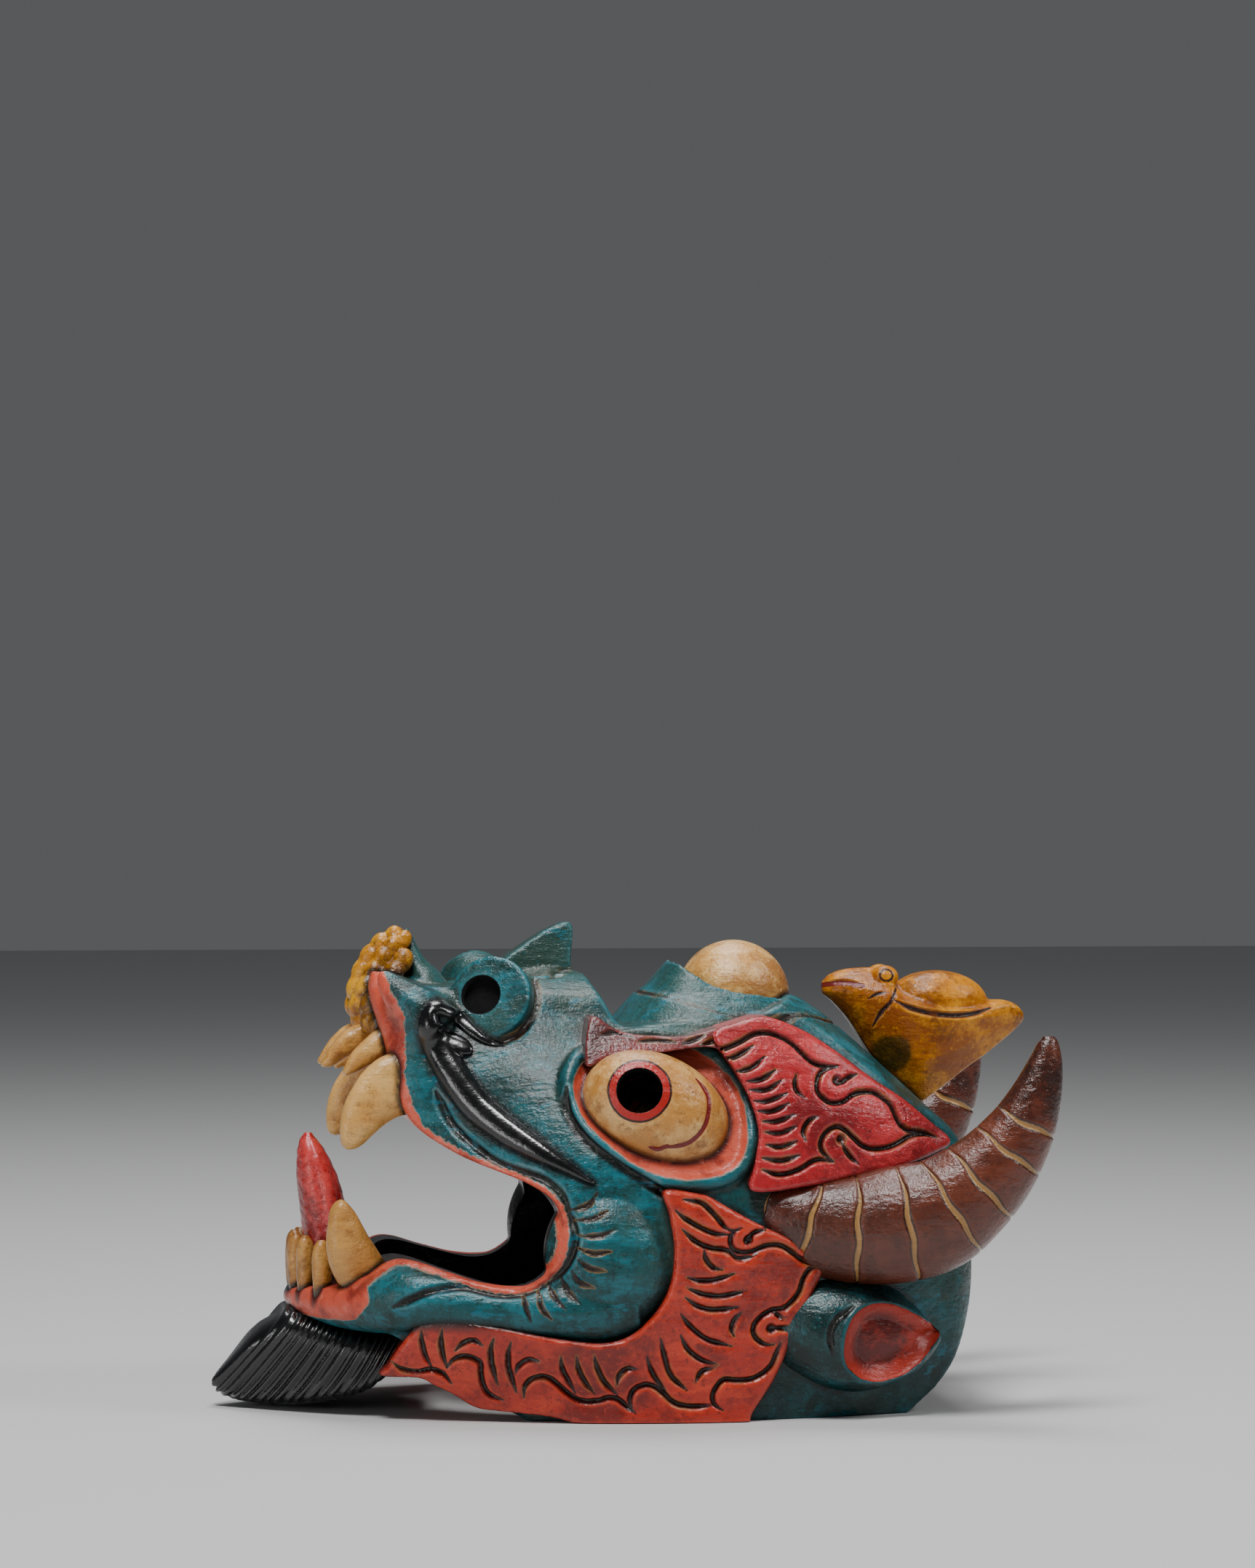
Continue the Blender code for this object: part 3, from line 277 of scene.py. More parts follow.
# Carved lines on the head, drawn from the side
LIP_LINE = (
    (-86, 134), (-80, 121), (-71, 112), (-60, 104.5), (-46, 100), (-38, 94), (-35, 86), (-32.5, 77),
    (-35, 67), (-41, 59.5), (-53, 54), (-64, 53.5), (-77, 56), (-90, 54), (-97, 51), (-105, 47),
)
EYE_GROOVE = ((-34, 136), (-34, 126), (-27, 115), (-14, 105), (-3, 98), (8, 91))
EAR_LINE = ((82, 47), (75, 42), (72, 36), (73, 27))
EAR_HOLLOW = (
    (77.5, 30), (78.5, 37), (82, 43.5), (89, 47.5), (98, 47.5), (107, 44), (114, 39.8), (121.5, 35),
    (120, 31), (115, 25.5), (109, 20), (103, 16.8), (95, 15), (87, 16), (80.5, 20.5), (78, 25),
)
BROW_CUTS = (
    ((-20, 157), (-13, 158.5), (-6, 156.5)), ((-4, 154.5), (4, 155.5), (12, 154)),
    ((14, 153.5), (20, 155.5), (24, 157)), ((22, 153), (28, 155), (31, 158)),
)
WRINKLES = (
    ((-34, 87), (-27, 89), (-23, 94)), ((-32, 83), (-25, 84), (-19, 87)),
    ((-31, 77), (-23, 77), (-16, 80)), ((-31, 72), (-25, 70), (-18, 71)),
    ((-32, 68), (-27, 64), (-20, 63)), ((-34, 63), (-31, 58), (-25, 56)),
    ((-38, 60), (-35, 54), (-30, 49)), ((-43, 57), (-40, 51), (-36, 47)),
    ((-47, 55), (-46, 48), (-42, 43)), ((-53, 53), (-52, 47), (-50, 42)),
)
SNOUT_LINES = (
    ((-25, 182.5), (-34, 180.5), (-42, 180), (-42.5, 173), (-44.2, 165.5), (-50, 158), (-58, 154.3),
     (-64, 153.8)),
)
VEINS = (
    ((18, 140), (22.5, 134), (23, 128), (20.5, 120), (14, 114), (4, 112)),
    ((6, 113.5), (2, 111.5), (-2, 112.5)),
)

# The gum's rows of scales: x, z, half width, how far back the row runs, and size
GUM_ROWS = (
    (-101, 196, 5.5, 4.5, 3.3), (-106.5, 192.5, 8.5, 8, 3.7), (-110.5, 187.5, 10.5, 11.5, 4.0),
    (-113.5, 181.5, 13, 14, 4.2), (-115.4, 175, 17, 14, 4.4), (-115.6, 168.5, 21, 12, 4.4),
    (-113.5, 162.5, 24, 9, 4.1),
)

# Each tooth's front and back edge, drawn from the side
LOWER_FANG = (
    ((-114, 47), (-121, 50.5), (-126, 56), (-129.5, 64), (-130.4, 73), (-129, 84), (-126.5, 88.2),
     (-124.6, 89.2)),
    ((-102, 56), (-104.5, 63), (-109, 69.5), (-113.5, 76), (-118.6, 84), (-122, 87.8), (-123.4, 88.8),
     (-124.2, 89.2)),
)
UPPER_FANG = (
    ((-94, 150), (-104.9, 148.5), (-112.4, 143.7), (-118.6, 136.3), (-123, 127.6), (-124.8, 118.9),
     (-124.2, 111.8), (-121.8, 109.4)),
    ((-91, 124), (-96.4, 123.1), (-100.5, 122.3), (-106.1, 119.4), (-112.4, 113.8), (-117.4, 110.3),
     (-119.6, 109.5), (-121.2, 109.3)),
)
UPPER_INCISORS = (
    (((-108, 162), (-118, 158.3), (-121.8, 155.8), (-126.2, 150.8), (-130, 144.5), (-130.6, 142.6)),
     ((-104, 155), (-112, 150.5), (-116, 148), (-119.9, 145.7), (-126.2, 142), (-129.8, 141.8))),
    (((-99, 161), (-108.4, 157.7), (-113.4, 154), (-118.5, 149), (-122, 142.5), (-122.3, 140)),
     ((-97, 150), (-104.6, 147.6), (-109.6, 143.9), (-115.9, 140.8), (-120, 139.2), (-121.6, 139))),
)
UPPER_INCISOR_Y = (11.0, 28.0)
LOWER_INCISORS = ((-140.5, 7, 50, 82), (-137.5, 20.5, 50, 66), (-131.5, 34.5, 49, 48))
LOWER_INCISOR_RINGS = ((-4, 3.2), (3, 4.2), (10, 4.8), (16, 4.5), (20, 3.5), (22.4, 1.6))

# The horn's middle line, with its half height at each point, and the places of its rings
HORN = (
    (33, 75, 94, 3), (41, 74, 90, 8), (52, 73.5, 85, 14), (65, 74, 80, 19.5), (82, 77, 77.5, 22),
    (100, 80, 79, 24), (116, 83, 83, 23.5), (129, 85, 91.5, 21), (141, 86.5, 103, 18),
    (151, 87.5, 117, 14.5), (157.5, 88, 131, 11), (161.5, 88, 144, 7.6), (163, 88, 153, 4.6),
    (163, 88, 156.5, 2.3),
)
HORN_ROUND = 0.82
HORN_RINGS = ((46, 88), (65, 84), (83, 78), (103, 81), (121, 87), (134, 95), (146, 108), (154, 120))


def line_through(points, per_span, closed=False):
    """A smooth curve through the points, as a Catmull-Rom spline."""
    p = np.array(points, float)
    if closed:
        p = np.vstack([p[-1], p, p[0], p[1]])
    else:
        p = np.vstack([2 * p[0] - p[1], p, 2 * p[-1] - p[-2]])
    out = []
    for a, b, c, d in zip(p, p[1:], p[2:], p[3:]):
        for i in range(per_span):
            t = i / per_span
            cubic = (3 * b - a - 3 * c + d) * t**3
            out.append(0.5 * (2 * b + (c - a) * t + (2 * a - 5 * b + 4 * c - d) * t**2 + cubic))
    if not closed:
        out.append(p[-2])
    return np.array(out)


def read_off(values, table):
    """Values read off a table of pairs, straight between its rows."""
    return np.interp(values, *zip(*table))


def squared(value, power):
    """A sine or cosine raised to a power, with its sign kept, which makes a round outline squarer."""
    return math.copysign(abs(value) ** power, value)


def placed(name, bm):
    """The bmesh as an object in the scene."""
    mesh = bpy.data.meshes.new(name)
    bm.to_mesh(mesh)
    bm.free()
    obj = bpy.data.objects.new(name, mesh)
    bpy.context.scene.collection.objects.link(obj)
    return obj


def mesh_object(name, bm):
    """A closed bmesh drawn in millimetres, as an object in metres."""
    to_metres = Matrix.Scale(MM, 4) @ Matrix.Translation((-MIDDLE_X, 0, 0))
    bmesh.ops.recalc_face_normals(bm, faces=bm.faces)
    bmesh.ops.transform(bm, verts=bm.verts, matrix=to_metres)
    return placed(name, bm)


def bake(obj):
    """Replaces the object's mesh by what its modifiers make."""
    bpy.context.view_layer.update()
    mesh = bpy.data.meshes.new_from_object(obj.evaluated_get(bpy.context.evaluated_depsgraph_get()))
    old = obj.data
    obj.modifiers.clear()
    obj.data = mesh
    bpy.data.meshes.remove(old)
    return obj


def volume(obj):
    """The volume inside a closed mesh."""
    bm = bmesh.new()
    bm.from_mesh(obj.data)
    inside = bm.calc_volume(signed=True)
    bm.free()
    return inside


def combine(obj, other, operation):
    """Cuts by a closed mesh, or keeps the common part, and removes the second object. A cut that has taken
    nothing away has failed, so it is made again."""
    whole = obj.data.copy()
    before = volume(obj)
    for _ in range(CUT_TRIES):
        obj.data = whole.copy()
        step = obj.modifiers.new(operation.lower(), "BOOLEAN")
        step.operation = operation
        step.object = other
        bake(obj)
        if 0 < volume(obj) < before * LEAST_CUT:
            break
        print("cut made again:", obj.name, other.name)
    bpy.data.meshes.remove(whole)
    bpy.data.objects.remove(other)
    return obj


def join(name, objects):
    """The objects' meshes as one object, still overlapping."""
    bm = bmesh.new()
    for obj in objects:
        bm.from_mesh(obj.data)
        bpy.data.objects.remove(obj)
    return placed(name, bm)


def fuse(obj, voxel, smoothing):
    """One closed skin of even cells round all that overlaps, with the saw marks eased."""
    step = obj.modifiers.new("fuse", "REMESH")
    step.mode = "VOXEL"
    step.voxel_size = voxel * MM
    ease = obj.modifiers.new("ease", "SMOOTH")
    ease.factor = 0.5
    ease.iterations = smoothing
    return bake(obj)


def mirrored(obj):
    """The right piece that mirrors a left one."""
    twin = obj.copy()
    twin.data = obj.data.copy()
    twin.name = obj.name.replace("_left", "_right")
    bpy.context.scene.collection.objects.link(twin)
    twin.data.transform(Matrix.Scale(-1, 4, (0, 1, 0)))
    twin.data.flip_normals()
    return twin


def closed_line(bm, points):
    """The edges of a closed line through the points."""
    verts = [bm.verts.new(point) for point in points]
    return [bm.edges.new(pair) for pair in zip(verts, verts[1:] + verts[:1])]


def loft(name, rings):
    """A closed skin over rings that have the same number of points."""
    bm = bmesh.new()
    loops = []
    for ring in rings:
        loops.append(closed_line(bm, ring))
        if len(loops) > 1:
            bmesh.ops.bridge_loops(bm, edges=loops[-2] + loops[-1])
    bmesh.ops.holes_fill(bm, edges=loops[0] + loops[-1], sides=0)
    return mesh_object(name, bm)


def prism(name, outline, low, high):
    """An outline drawn from the side, extruded across the face from low to high."""
    bm = bmesh.new()
    face = bm.faces.new([bm.verts.new((x, low, z)) for x, z in outline])
    grown = bmesh.ops.extrude_face_region(bm, geom=[face])
    far_end = [v for v in grown["geom"] if isinstance(v, bmesh.types.BMVert)]
    bmesh.ops.translate(bm, verts=far_end, vec=Vector((0, high - low, 0)))
    return mesh_object(name, bm)


def ball(name, centre, radii, tilt=0.0, detail=5):
    """An ellipsoid, tilted about Y, in degrees."""
    bm = bmesh.new()
    turn = Matrix.Rotation(math.radians(tilt), 4, "Y")
    matrix = Matrix.Translation(centre) @ turn @ Matrix.Diagonal((*radii, 1))
    bmesh.ops.create_icosphere(bm, subdivisions=detail, radius=1, matrix=matrix)
    return mesh_object(name, bm)


def drum(name, start, end, radius):
    """A round bar from start to end."""
    start, end = Vector(start), Vector(end)
    turn = (end - start).to_track_quat("Z", "Y").to_matrix().to_4x4()
    bm = bmesh.new()
    bmesh.ops.create_cone(
        bm,
        cap_ends=True,
        segments=72,
        radius1=radius,
        radius2=radius,
        depth=(end - start).length,
        matrix=Matrix.Translation((start + end) / 2) @ turn,
    )
    return mesh_object(name, bm)


def sweep(name, path, across, sides=28, per_span=6, shape=None):
    """A tapering bar along a path of x, y, z and half height, with its half thickness as a share of that."""
    points = line_through(path, per_span)
    rings = []
    for i, (x, y, z, radius) in enumerate(points):
        ahead = points[min(i + 1, len(points) - 1)][:3] - points[max(i - 1, 0)][:3]
        ahead = Vector(ahead).normalized()
        up = ahead.cross(Vector((0, 1, 0))).normalized()
        out = up.cross(ahead).normalized()
        ring = []
        for k in range(sides):
            t = 2 * math.pi * k / sides
            r = radius * (shape(x, z, t) if shape else 1.0)
            ring.append(Vector((x, y, z)) + (up * math.cos(t) + out * across * math.sin(t)) * r)
        rings.append(ring)
    return loft(name, rings)


def half_width(x, z):
    """How far the head's wall is from the middle at that place."""
    stations = [s[0] for s in HEAD]
    top = np.interp(x, stations, [s[1] for s in HEAD])
    widths = [np.interp(x, stations, [s[2][k] for s in HEAD]) for k in range(len(SHARES))]
    share = z / top
    if share < SHARES[-1]:
        return float(np.interp(share, SHARES, widths))
    left = max(0.0, 1 - ((share - SHARES[-1]) / (1 - SHARES[-1])) ** 2)
    return float(widths[-1] * math.sqrt(left))


def head_body(name, grow, shoulder=0.0):
    """The head's solid form, with every wall moved out by grow and its crown widened by shoulder."""
    stations = line_through([(x, top, *widths) for x, top, widths in HEAD], 8)
    stations[0][0] -= max(grow, 0)
    stations[-1][0] += max(grow, 0)
    rings = []
    for station in stations:
        x, top, widths = station[0], station[1], station[2:].copy()
        widths[-2] += shoulder * 0.35
        widths[-1] += shoulder
        flank = list(zip(widths, SHARES))
        for a in (0.5, 0.95, 1.3):
            flank.append((widths[-1] * math.cos(a), SHARES[-1] + (1 - SHARES[-1]) * math.sin(a)))
        half = line_through([(w + grow, s * top + grow * s) for w, s in flank] + [(0, top + grow)], 6)
        half[0][1] = UNDER_FLOOR
        rings.append([(x, y, z) for y, z in half] + [(x, -y, z) for y, z in half[-2::-1]])
    return loft(name, rings)


def raised_field(name, outline, lift, shoulder=0.0):
    """A slab of the left wall inside the outline, raised by lift and bedded in the wood. The bed's cut is
    checked by how deep the slab then reaches."""
    for nudge in NUDGES:
        side_view = line_through(outline, 6, closed=True)
        field = prism(name, side_view, FIELD_OUTER, FIELD_INNER + nudge)
        combine(field, head_body("grown", lift, shoulder), "INTERSECT")
        combine(field, head_body("bed", nudge - BED_DEPTH), "DIFFERENCE")
        places, _ = surface(field)
        depth = [half_width(x, z) - abs(y) for x, y, z in places]
        if max(depth) < DEEPEST_BED:
            return field
        print("field made again:", name, max(depth))
        bpy.data.objects.remove(field)
    return field


def ring_bar(name, path, radius, sides=14):
    """A round bar along a closed path."""
    bm = bmesh.new()
    loops = []
    count = len(path)
    for i, point in enumerate(path):
        ahead = (Vector(path[(i + 1) % count]) - Vector(path[i - 1])).normalized()
        up = ahead.cross(Vector((0, 1, 0))).normalized()
        out = up.cross(ahead)
        turns = [2 * math.pi * k / sides for k in range(sides)]
        ring = [Vector(point) + (up * math.cos(t) + out * math.sin(t)) * radius for t in turns]
        loops.append(closed_line(bm, ring))
    for a, b in zip(loops, loops[1:] + loops[:1]):
        bmesh.ops.bridge_loops(bm, edges=a + b)
    return mesh_object(name, bm)


def surface(obj):
    """The places in millimetres and the normals of a mesh's points."""
    count = len(obj.data.vertices)
    places = np.empty(count * 3, np.float32)
    normals = np.empty(count * 3, np.float32)
    obj.data.vertices.foreach_get("co", places)
    obj.data.vertex_normals.foreach_get("vector", normals)
    return places.reshape(-1, 3).astype(float) / MM + (MIDDLE_X, 0, 0), normals.reshape(-1, 3).astype(float)


def move_surface(obj, places):
    """Puts a mesh's points at these places, in millimetres."""
    obj.data.vertices.foreach_set("co", ((places - (MIDDLE_X, 0, 0)) * MM).astype(np.float32).ravel())
    obj.data.update()


def note(obj, name, values):
    """Keeps a value for each point, for the paint."""
    kept = obj.data.attributes.get(name) or obj.data.attributes.new(name, "FLOAT", "POINT")
    kept.data.foreach_set("value", np.asarray(values, np.float32))


def note_uncut(obj):
    """Notes that no carved line is near."""
    note(obj, "line", np.full(len(obj.data.vertices), OFF_LINE))


def noted(obj, name):
    """The values kept for each point."""
    values = np.empty(len(obj.data.vertices), np.float32)
    obj.data.attributes[name].data.foreach_get("value", values)
    return values


def distance_to(points, line, reach=14.0):
    """The distance in a flat view from each point to a line, up to reach."""
    near = np.full(len(points), reach)
    inside = np.all((points > line.min(0) - reach) & (points < line.max(0) + reach), axis=1)
    close, best = points[inside], near[inside]
    for a, b in zip(line, line[1:]):
        step = b - a
        t = np.clip(((close - a) @ step) / max(step @ step, 1e-9), 0, 1)
        best = np.minimum(best, np.hypot(*(close - a - t[:, None] * step).T))
    near[inside] = best
    return near


def inside_of(points, outline):
    """How deep each point lies inside an outline in a flat view; negative outside."""
    closed = np.vstack([outline, outline[:1]])
    inside = np.zeros(len(points), bool)
    for (ax, az), (bx, bz) in zip(closed, closed[1:]):
        if az == bz:
            continue
        crosses = (az > points[:, 1]) != (bz > points[:, 1])
        inside ^= crosses & (points[:, 0] < (bx - ax) * (points[:, 1] - az) / (bz - az) + ax)
    near = distance_to(points, closed)
    return np.where(inside, near, -near)


def carve(obj, lines, where=None, flat=(0, 2), noted_as="line", roll=0.0):
    """Cuts V-shaped lines, each given as points, half width and depth, and notes how near each point is
    to one. With a roll the wood between the lines is rounded down towards them by that much."""
    places, normals = surface(obj)
    allowed = np.ones(len(places), bool) if where is None else where(places, normals)
    depth = np.zeros(len(places))
    closest = np.full(len(places), OFF_LINE)
    if obj.data.attributes.get(noted_as):
        closest = noted(obj, noted_as).astype(float)
    for points, half, deep in lines:
        line = line_through(points, 8)
        near = distance_to(places[:, flat], line, reach=half * 6)
        taper = 1.0
        ends = min(np.linalg.norm(line[0] - line[-1]) * 0.35, 6.0)
        if ends > 1:
            from_start, from_end = places[:, flat] - line[0], places[:, flat] - line[-1]
            to_end = np.minimum(np.hypot(*from_start.T), np.hypot(*from_end.T))
            taper = np.clip(0.3 + 0.7 * to_end / ends, 0, 1)
        share = near / (half * taper)
        cut = deep * taper * np.clip(1 - share, 0, 1) ** 0.75
        cut += roll * taper * np.clip(1 - near / (half * 3.2), 0, 1) ** 2
        depth = np.where(allowed, np.maximum(depth, cut), depth)
        closest = np.where(allowed, np.minimum(closest, share), closest)
    move_surface(obj, places - normals * depth[:, None])
    note(obj, noted_as, closest)
    return obj


def outward(places, normals):
    """The side walls' outer faces."""
    return np.sign(places[:, 1]) * normals[:, 1] > 0.12


def pillow(obj, outline, reach, drop):
    """Rounds a raised field off towards its outline."""
    places, normals = surface(obj)
    deep = inside_of(places[:, [0, 2]], line_through(outline, 8, closed=True))
    fall = drop * np.clip(1 - deep / reach, 0, 1) ** 2
    fall *= outward(places, normals)
    places[:, 1] -= np.sign(places[:, 1]) * fall
    move_surface(obj, places)


def roughen(obj, size, height, seed):
    """The knife's shallow flats, as a slow wave over the whole surface."""
    places, normals = surface(obj)
    rng = np.random.default_rng(seed)
    wave = np.zeros(len(places))
    for _ in range(7):
        direction = rng.normal(size=3)
        direction *= 2 * math.pi / (size * rng.uniform(0.7, 1.5) * np.linalg.norm(direction))
        wave += np.sin(places @ direction + rng.uniform(0, 6.28))
    move_surface(obj, places + normals * (height * wave / 7)[:, None])


def neighbours(obj):
    """The two ends of each edge, and how many edges each point has."""
    edges = np.empty(len(obj.data.edges) * 2, np.int32)
    obj.data.edges.foreach_get("vertices", edges)
    a, b = edges.reshape(-1, 2).T
    count = len(obj.data.vertices)
    degree = np.bincount(a, minlength=count) + np.bincount(b, minlength=count)
    return a, b, degree[:, None]


def sum_round(places, a, b):
    """For each point, the sum of the places next to it."""
    count = len(places)
    total = np.zeros_like(places)
    for k in range(3):
        total[:, k] = np.bincount(a, places[b, k], minlength=count)
        total[:, k] += np.bincount(b, places[a, k], minlength=count)
    return total


def ease_patch(obj, share, rounds):
    """Rubs down the places where share is above 0."""
    places, _ = surface(obj)
    a, b, degree = neighbours(obj)
    for _ in range(rounds):
        places += 0.6 * share[:, None] * (sum_round(places, a, b) / degree - places)
    move_surface(obj, places)


def note_cavity(obj, rounds=6):
    """Notes where the surface is hollow (above 0) or ridged (below 0), seen over a few millimetres."""
    places, normals = surface(obj)
    a, b, degree = neighbours(obj)
    soft = places.copy()
    for _ in range(rounds):
        soft = 0.3 * soft + 0.7 * sum_round(soft, a, b) / degree
    note(obj, "cavity", np.clip(np.einsum("ij,ij->i", soft - places, normals) / 0.6, -1, 1))


def search_tree(objects):
    """The objects' faces, ready to be searched."""
    bm = bmesh.new()
    for obj in objects:
        bm.from_mesh(obj.data)
    tree = bvhtree.BVHTree.FromBMesh(bm)
    bm.free()
    return tree


def note_contact(obj, others, reach=4.0):
    """Notes how near each point is to the pieces that stand against it, from 1 at the joint to 0."""
    tree = search_tree(others)
    limit = reach * MM
    values = np.zeros(len(obj.data.vertices), np.float32)
    for i, vert in enumerate(obj.data.vertices):
        found = tree.find_nearest(vert.co, limit)
        if found[3] is not None:
            values[i] = 1 - found[3] / limit
    note(obj, "contact", values)


def make_lid():
    """The third eye's lid: a steep collar round the dome, highest in front."""
    rings = []
    for low, high, half, edge in LID_RINGS:
        ring = []
        for k in range(96):
            t = 2 * math.pi * k / 96
            x = (low + high) / 2 - (high - low) / 2 * math.cos(t)
            y = half * squared(math.sin(t), LID_PLAN)
            ring.append((x, y, float(read_off(x, edge))))
        rings.append(ring)
    return loft("lid", rings)


def make_snout():
    """The upper lip's crest, the fin on the nose and the bridge behind it."""
    crest_path = (
        (-78, 0, 158, 11), (-82.5, 0, 168, 10), (-86.6, 0, 177.5, 7.7), (-89.6, 0, 183.5, 5.0),
        (-91.5, 0, 189, 3.5), (-93.1, 0, 195, 2.3), (-94.1, 0, 199.4, 1.0),
    )
    fin_side = (
        (-56, 184), (-53, 187), (-44.2, 193.3), (-36.5, 198.4), (-28.8, 201.7), (-24.9, 202),
        (-23.6, 199.6), (-24.3, 190.7), (-25.2, 181), (-34, 176), (-50, 172),
    )
    fin = prism("fin", fin_side, -9.5, 9.5)
    places, _ = surface(fin)
    places[:, 1] *= np.interp(places[:, 2], (176, 203), (1.25, 0.5))
    move_surface(fin, places)
    return [sweep("crest", crest_path, 1.6), fin, ball("bridge", (-36, 0, 160), (24, 42, 23))]


def make_side(side):
    """One side of the face: lip lobe, jaw, nostril, eye socket's rim, cheek and the bar under the eye."""
    lobe_path = (
        (-84, side * 44, 158, 12), (-92, side * 43, 166, 11), (-100, side * 41, 173, 8),
        (-106, side * 39, 179, 5), (-109, side * 38, 182, 2),
    )
    jaw_path = (
        (-8, side * 78, 50, 15), (-22, side * 79, 47, 14.5), (-42, side * 79, 45.5, 11.5),
        (-60, side * 75.5, 45.5, 10.5), (-80, side * 70, 47.5, 11.5), (-98, side * 62, 49.5, 13.5),
        (-110, side * 53, 47, 12.5), (-122, side * 42, 45, 9.5), (-132, side * 28, 45, 7.5),
        (-138, side * 12, 45.5, 6.5), (-139, 0, 46, 6.5),
    )
    bar_path = (
        (-12, side * 74, 74, 18), (-24, side * 76, 92, 14), (-38, side * 72, 106, 11),
        (-54, side * 64, 116, 9), (-72, side * 54, 122, 7),
    )
    face, inward = at_side(NOSTRIL_FACE, side), at_side(NOSTRIL_INWARD, side)
    rim = [(x, side * (half_width(x, z) + 1.0), z) for x, z in line_through(SOCKET, 6, closed=True)]
    return [
        sweep("lobe", lobe_path, 0.8),
        sweep("jaw", jaw_path, 0.9),
        drum("nostril", face, face + inward * 32, NOSTRIL_RADIUS),
        ring_bar("rim", rim, SOCKET_RIM),
        ball("cheek", (-16, side * 75, 66), (27.5, 20, 32), tilt=-12),
        sweep("cheek_bar", bar_path, 0.7),
    ]


def make_head():
    """The teal block: skull, snout, lips, cheeks, jaw, nose fin, eye sockets and the forehead's lid."""
    core = head_body("core", 0.0)
    profile = np.vstack([line_through(part, 6)[:-1] for part in (JAW_LINE, MOUTH_LINE, TOP_LINE)])
    combine(core, prism("saw", profile, -150, 150), "INTERSECT")
    forms = [core, make_lid(), *make_snout(), *make_side(-1), *make_side(1)]
    head = fuse(join("head", forms), voxel=1.15, smoothing=4)
    x, y, z = surface(head)[0].T
    lip = np.clip((-76 - x) / 8, 0, 1) * np.clip((z - 132) / 8, 0, 1)
    lip = lip * np.clip((np.abs(y) - 24) / 8, 0, 1) * np.clip((185 - z) / 6, 0, 1)
    ease_patch(head, lip, rounds=30)
    combine(head, make_hollow(), "DIFFERENCE")
    combine(head, join("holes", [h for side in (-1, 1) for h in bored_holes(side)]), "DIFFERENCE")
    under = prism("ground", ((-250, -60), (250, -60), (250, 0), (-250, 0)), -200, 200)
    combine(head, under, "DIFFERENCE")
    return head


def at_side(place, side):
    """A place or direction, on the left for -1 and on the right for 1."""
    return Vector(place) * Vector((1, side, 1))


def bored_holes(side):
    """The pupil right through the wall, and the shallow nostril."""
    pupil = drum("pupil", at_side(PUPIL_FROM, side), at_side(PUPIL_TO, side), PUPIL_RADIUS)
    face, inward = at_side(NOSTRIL_HOLE, side), at_side(NOSTRIL_INWARD, side)
    return [pupil, drum("nostril_hole", face - inward * 8, face + inward * NOSTRIL_DEPTH, NOSTRIL_BORE)]


def make_hollow():
    """The wearer's hollow, a wall thickness inside the head's outer form and open at the back."""
    tops = (
        (-114, 58), (-104, 72), (-84, 78), (-60, 84), (-42, 98), (-22, 128), (0, 143), (24, 152),
        (50, 152), (78, 142), (104, 116), (126, 92), (133, 84),
    )
    rings = []
    for x, top in line_through(tops, 4):
        near_front = min(1.0, 0.55 + (x - tops[0][0]) / 30)
        near_back = min(1.0, 0.75 + (tops[-1][0] - x) / 30)
        half = []
        for share in (0.0, 0.15, 0.3, 0.45, 0.55, 0.65, 0.75, 0.83, 0.9, 0.95):
            z = share * top
            wide = (half_width(x, z) - SHELL_WALL) * near_front * near_back
            half.append((wide * math.sqrt(max(0.2, 1 - share**6)), z))
        half.append((half[-1][0] * 0.5, top))
        half[0] = (half[0][0], -10.0)
        rings.append([(x, y, z) for y, z in half] + [(x, -y, z) for y, z in half[::-1]])
    return loft("hollow", rings)


def carve_head(head):
    """Cuts the head's lines."""
    grooves = [(LIP_LINE, 2.0, 2.0), (EYE_GROOVE, 2.4, 2.2)]
    carve(head, grooves, where=outward, noted_as="groove", roll=0.5)
    cuts = [(line, 1.25, 1.2) for line in WRINKLES]
    cuts += [(line, 1.6, 1.6) for line in SNOUT_LINES]
    carve(head, cuts, where=outward)
    low, high, half, _ = LID_RINGS[1]
    turns = np.linspace(0, 2 * math.pi, 40)
    wide = np.sign(np.sin(turns)) * np.abs(np.sin(turns)) ** LID_PLAN
    foot = [((low + high) / 2 - (high - low) / 2 * math.cos(t), half * w) for t, w in zip(turns, wide)]
    carve(head, [(foot, 1.1, 0.9)], where=lambda p, n: p[:, 2] > 140, flat=(0, 1))
    return head


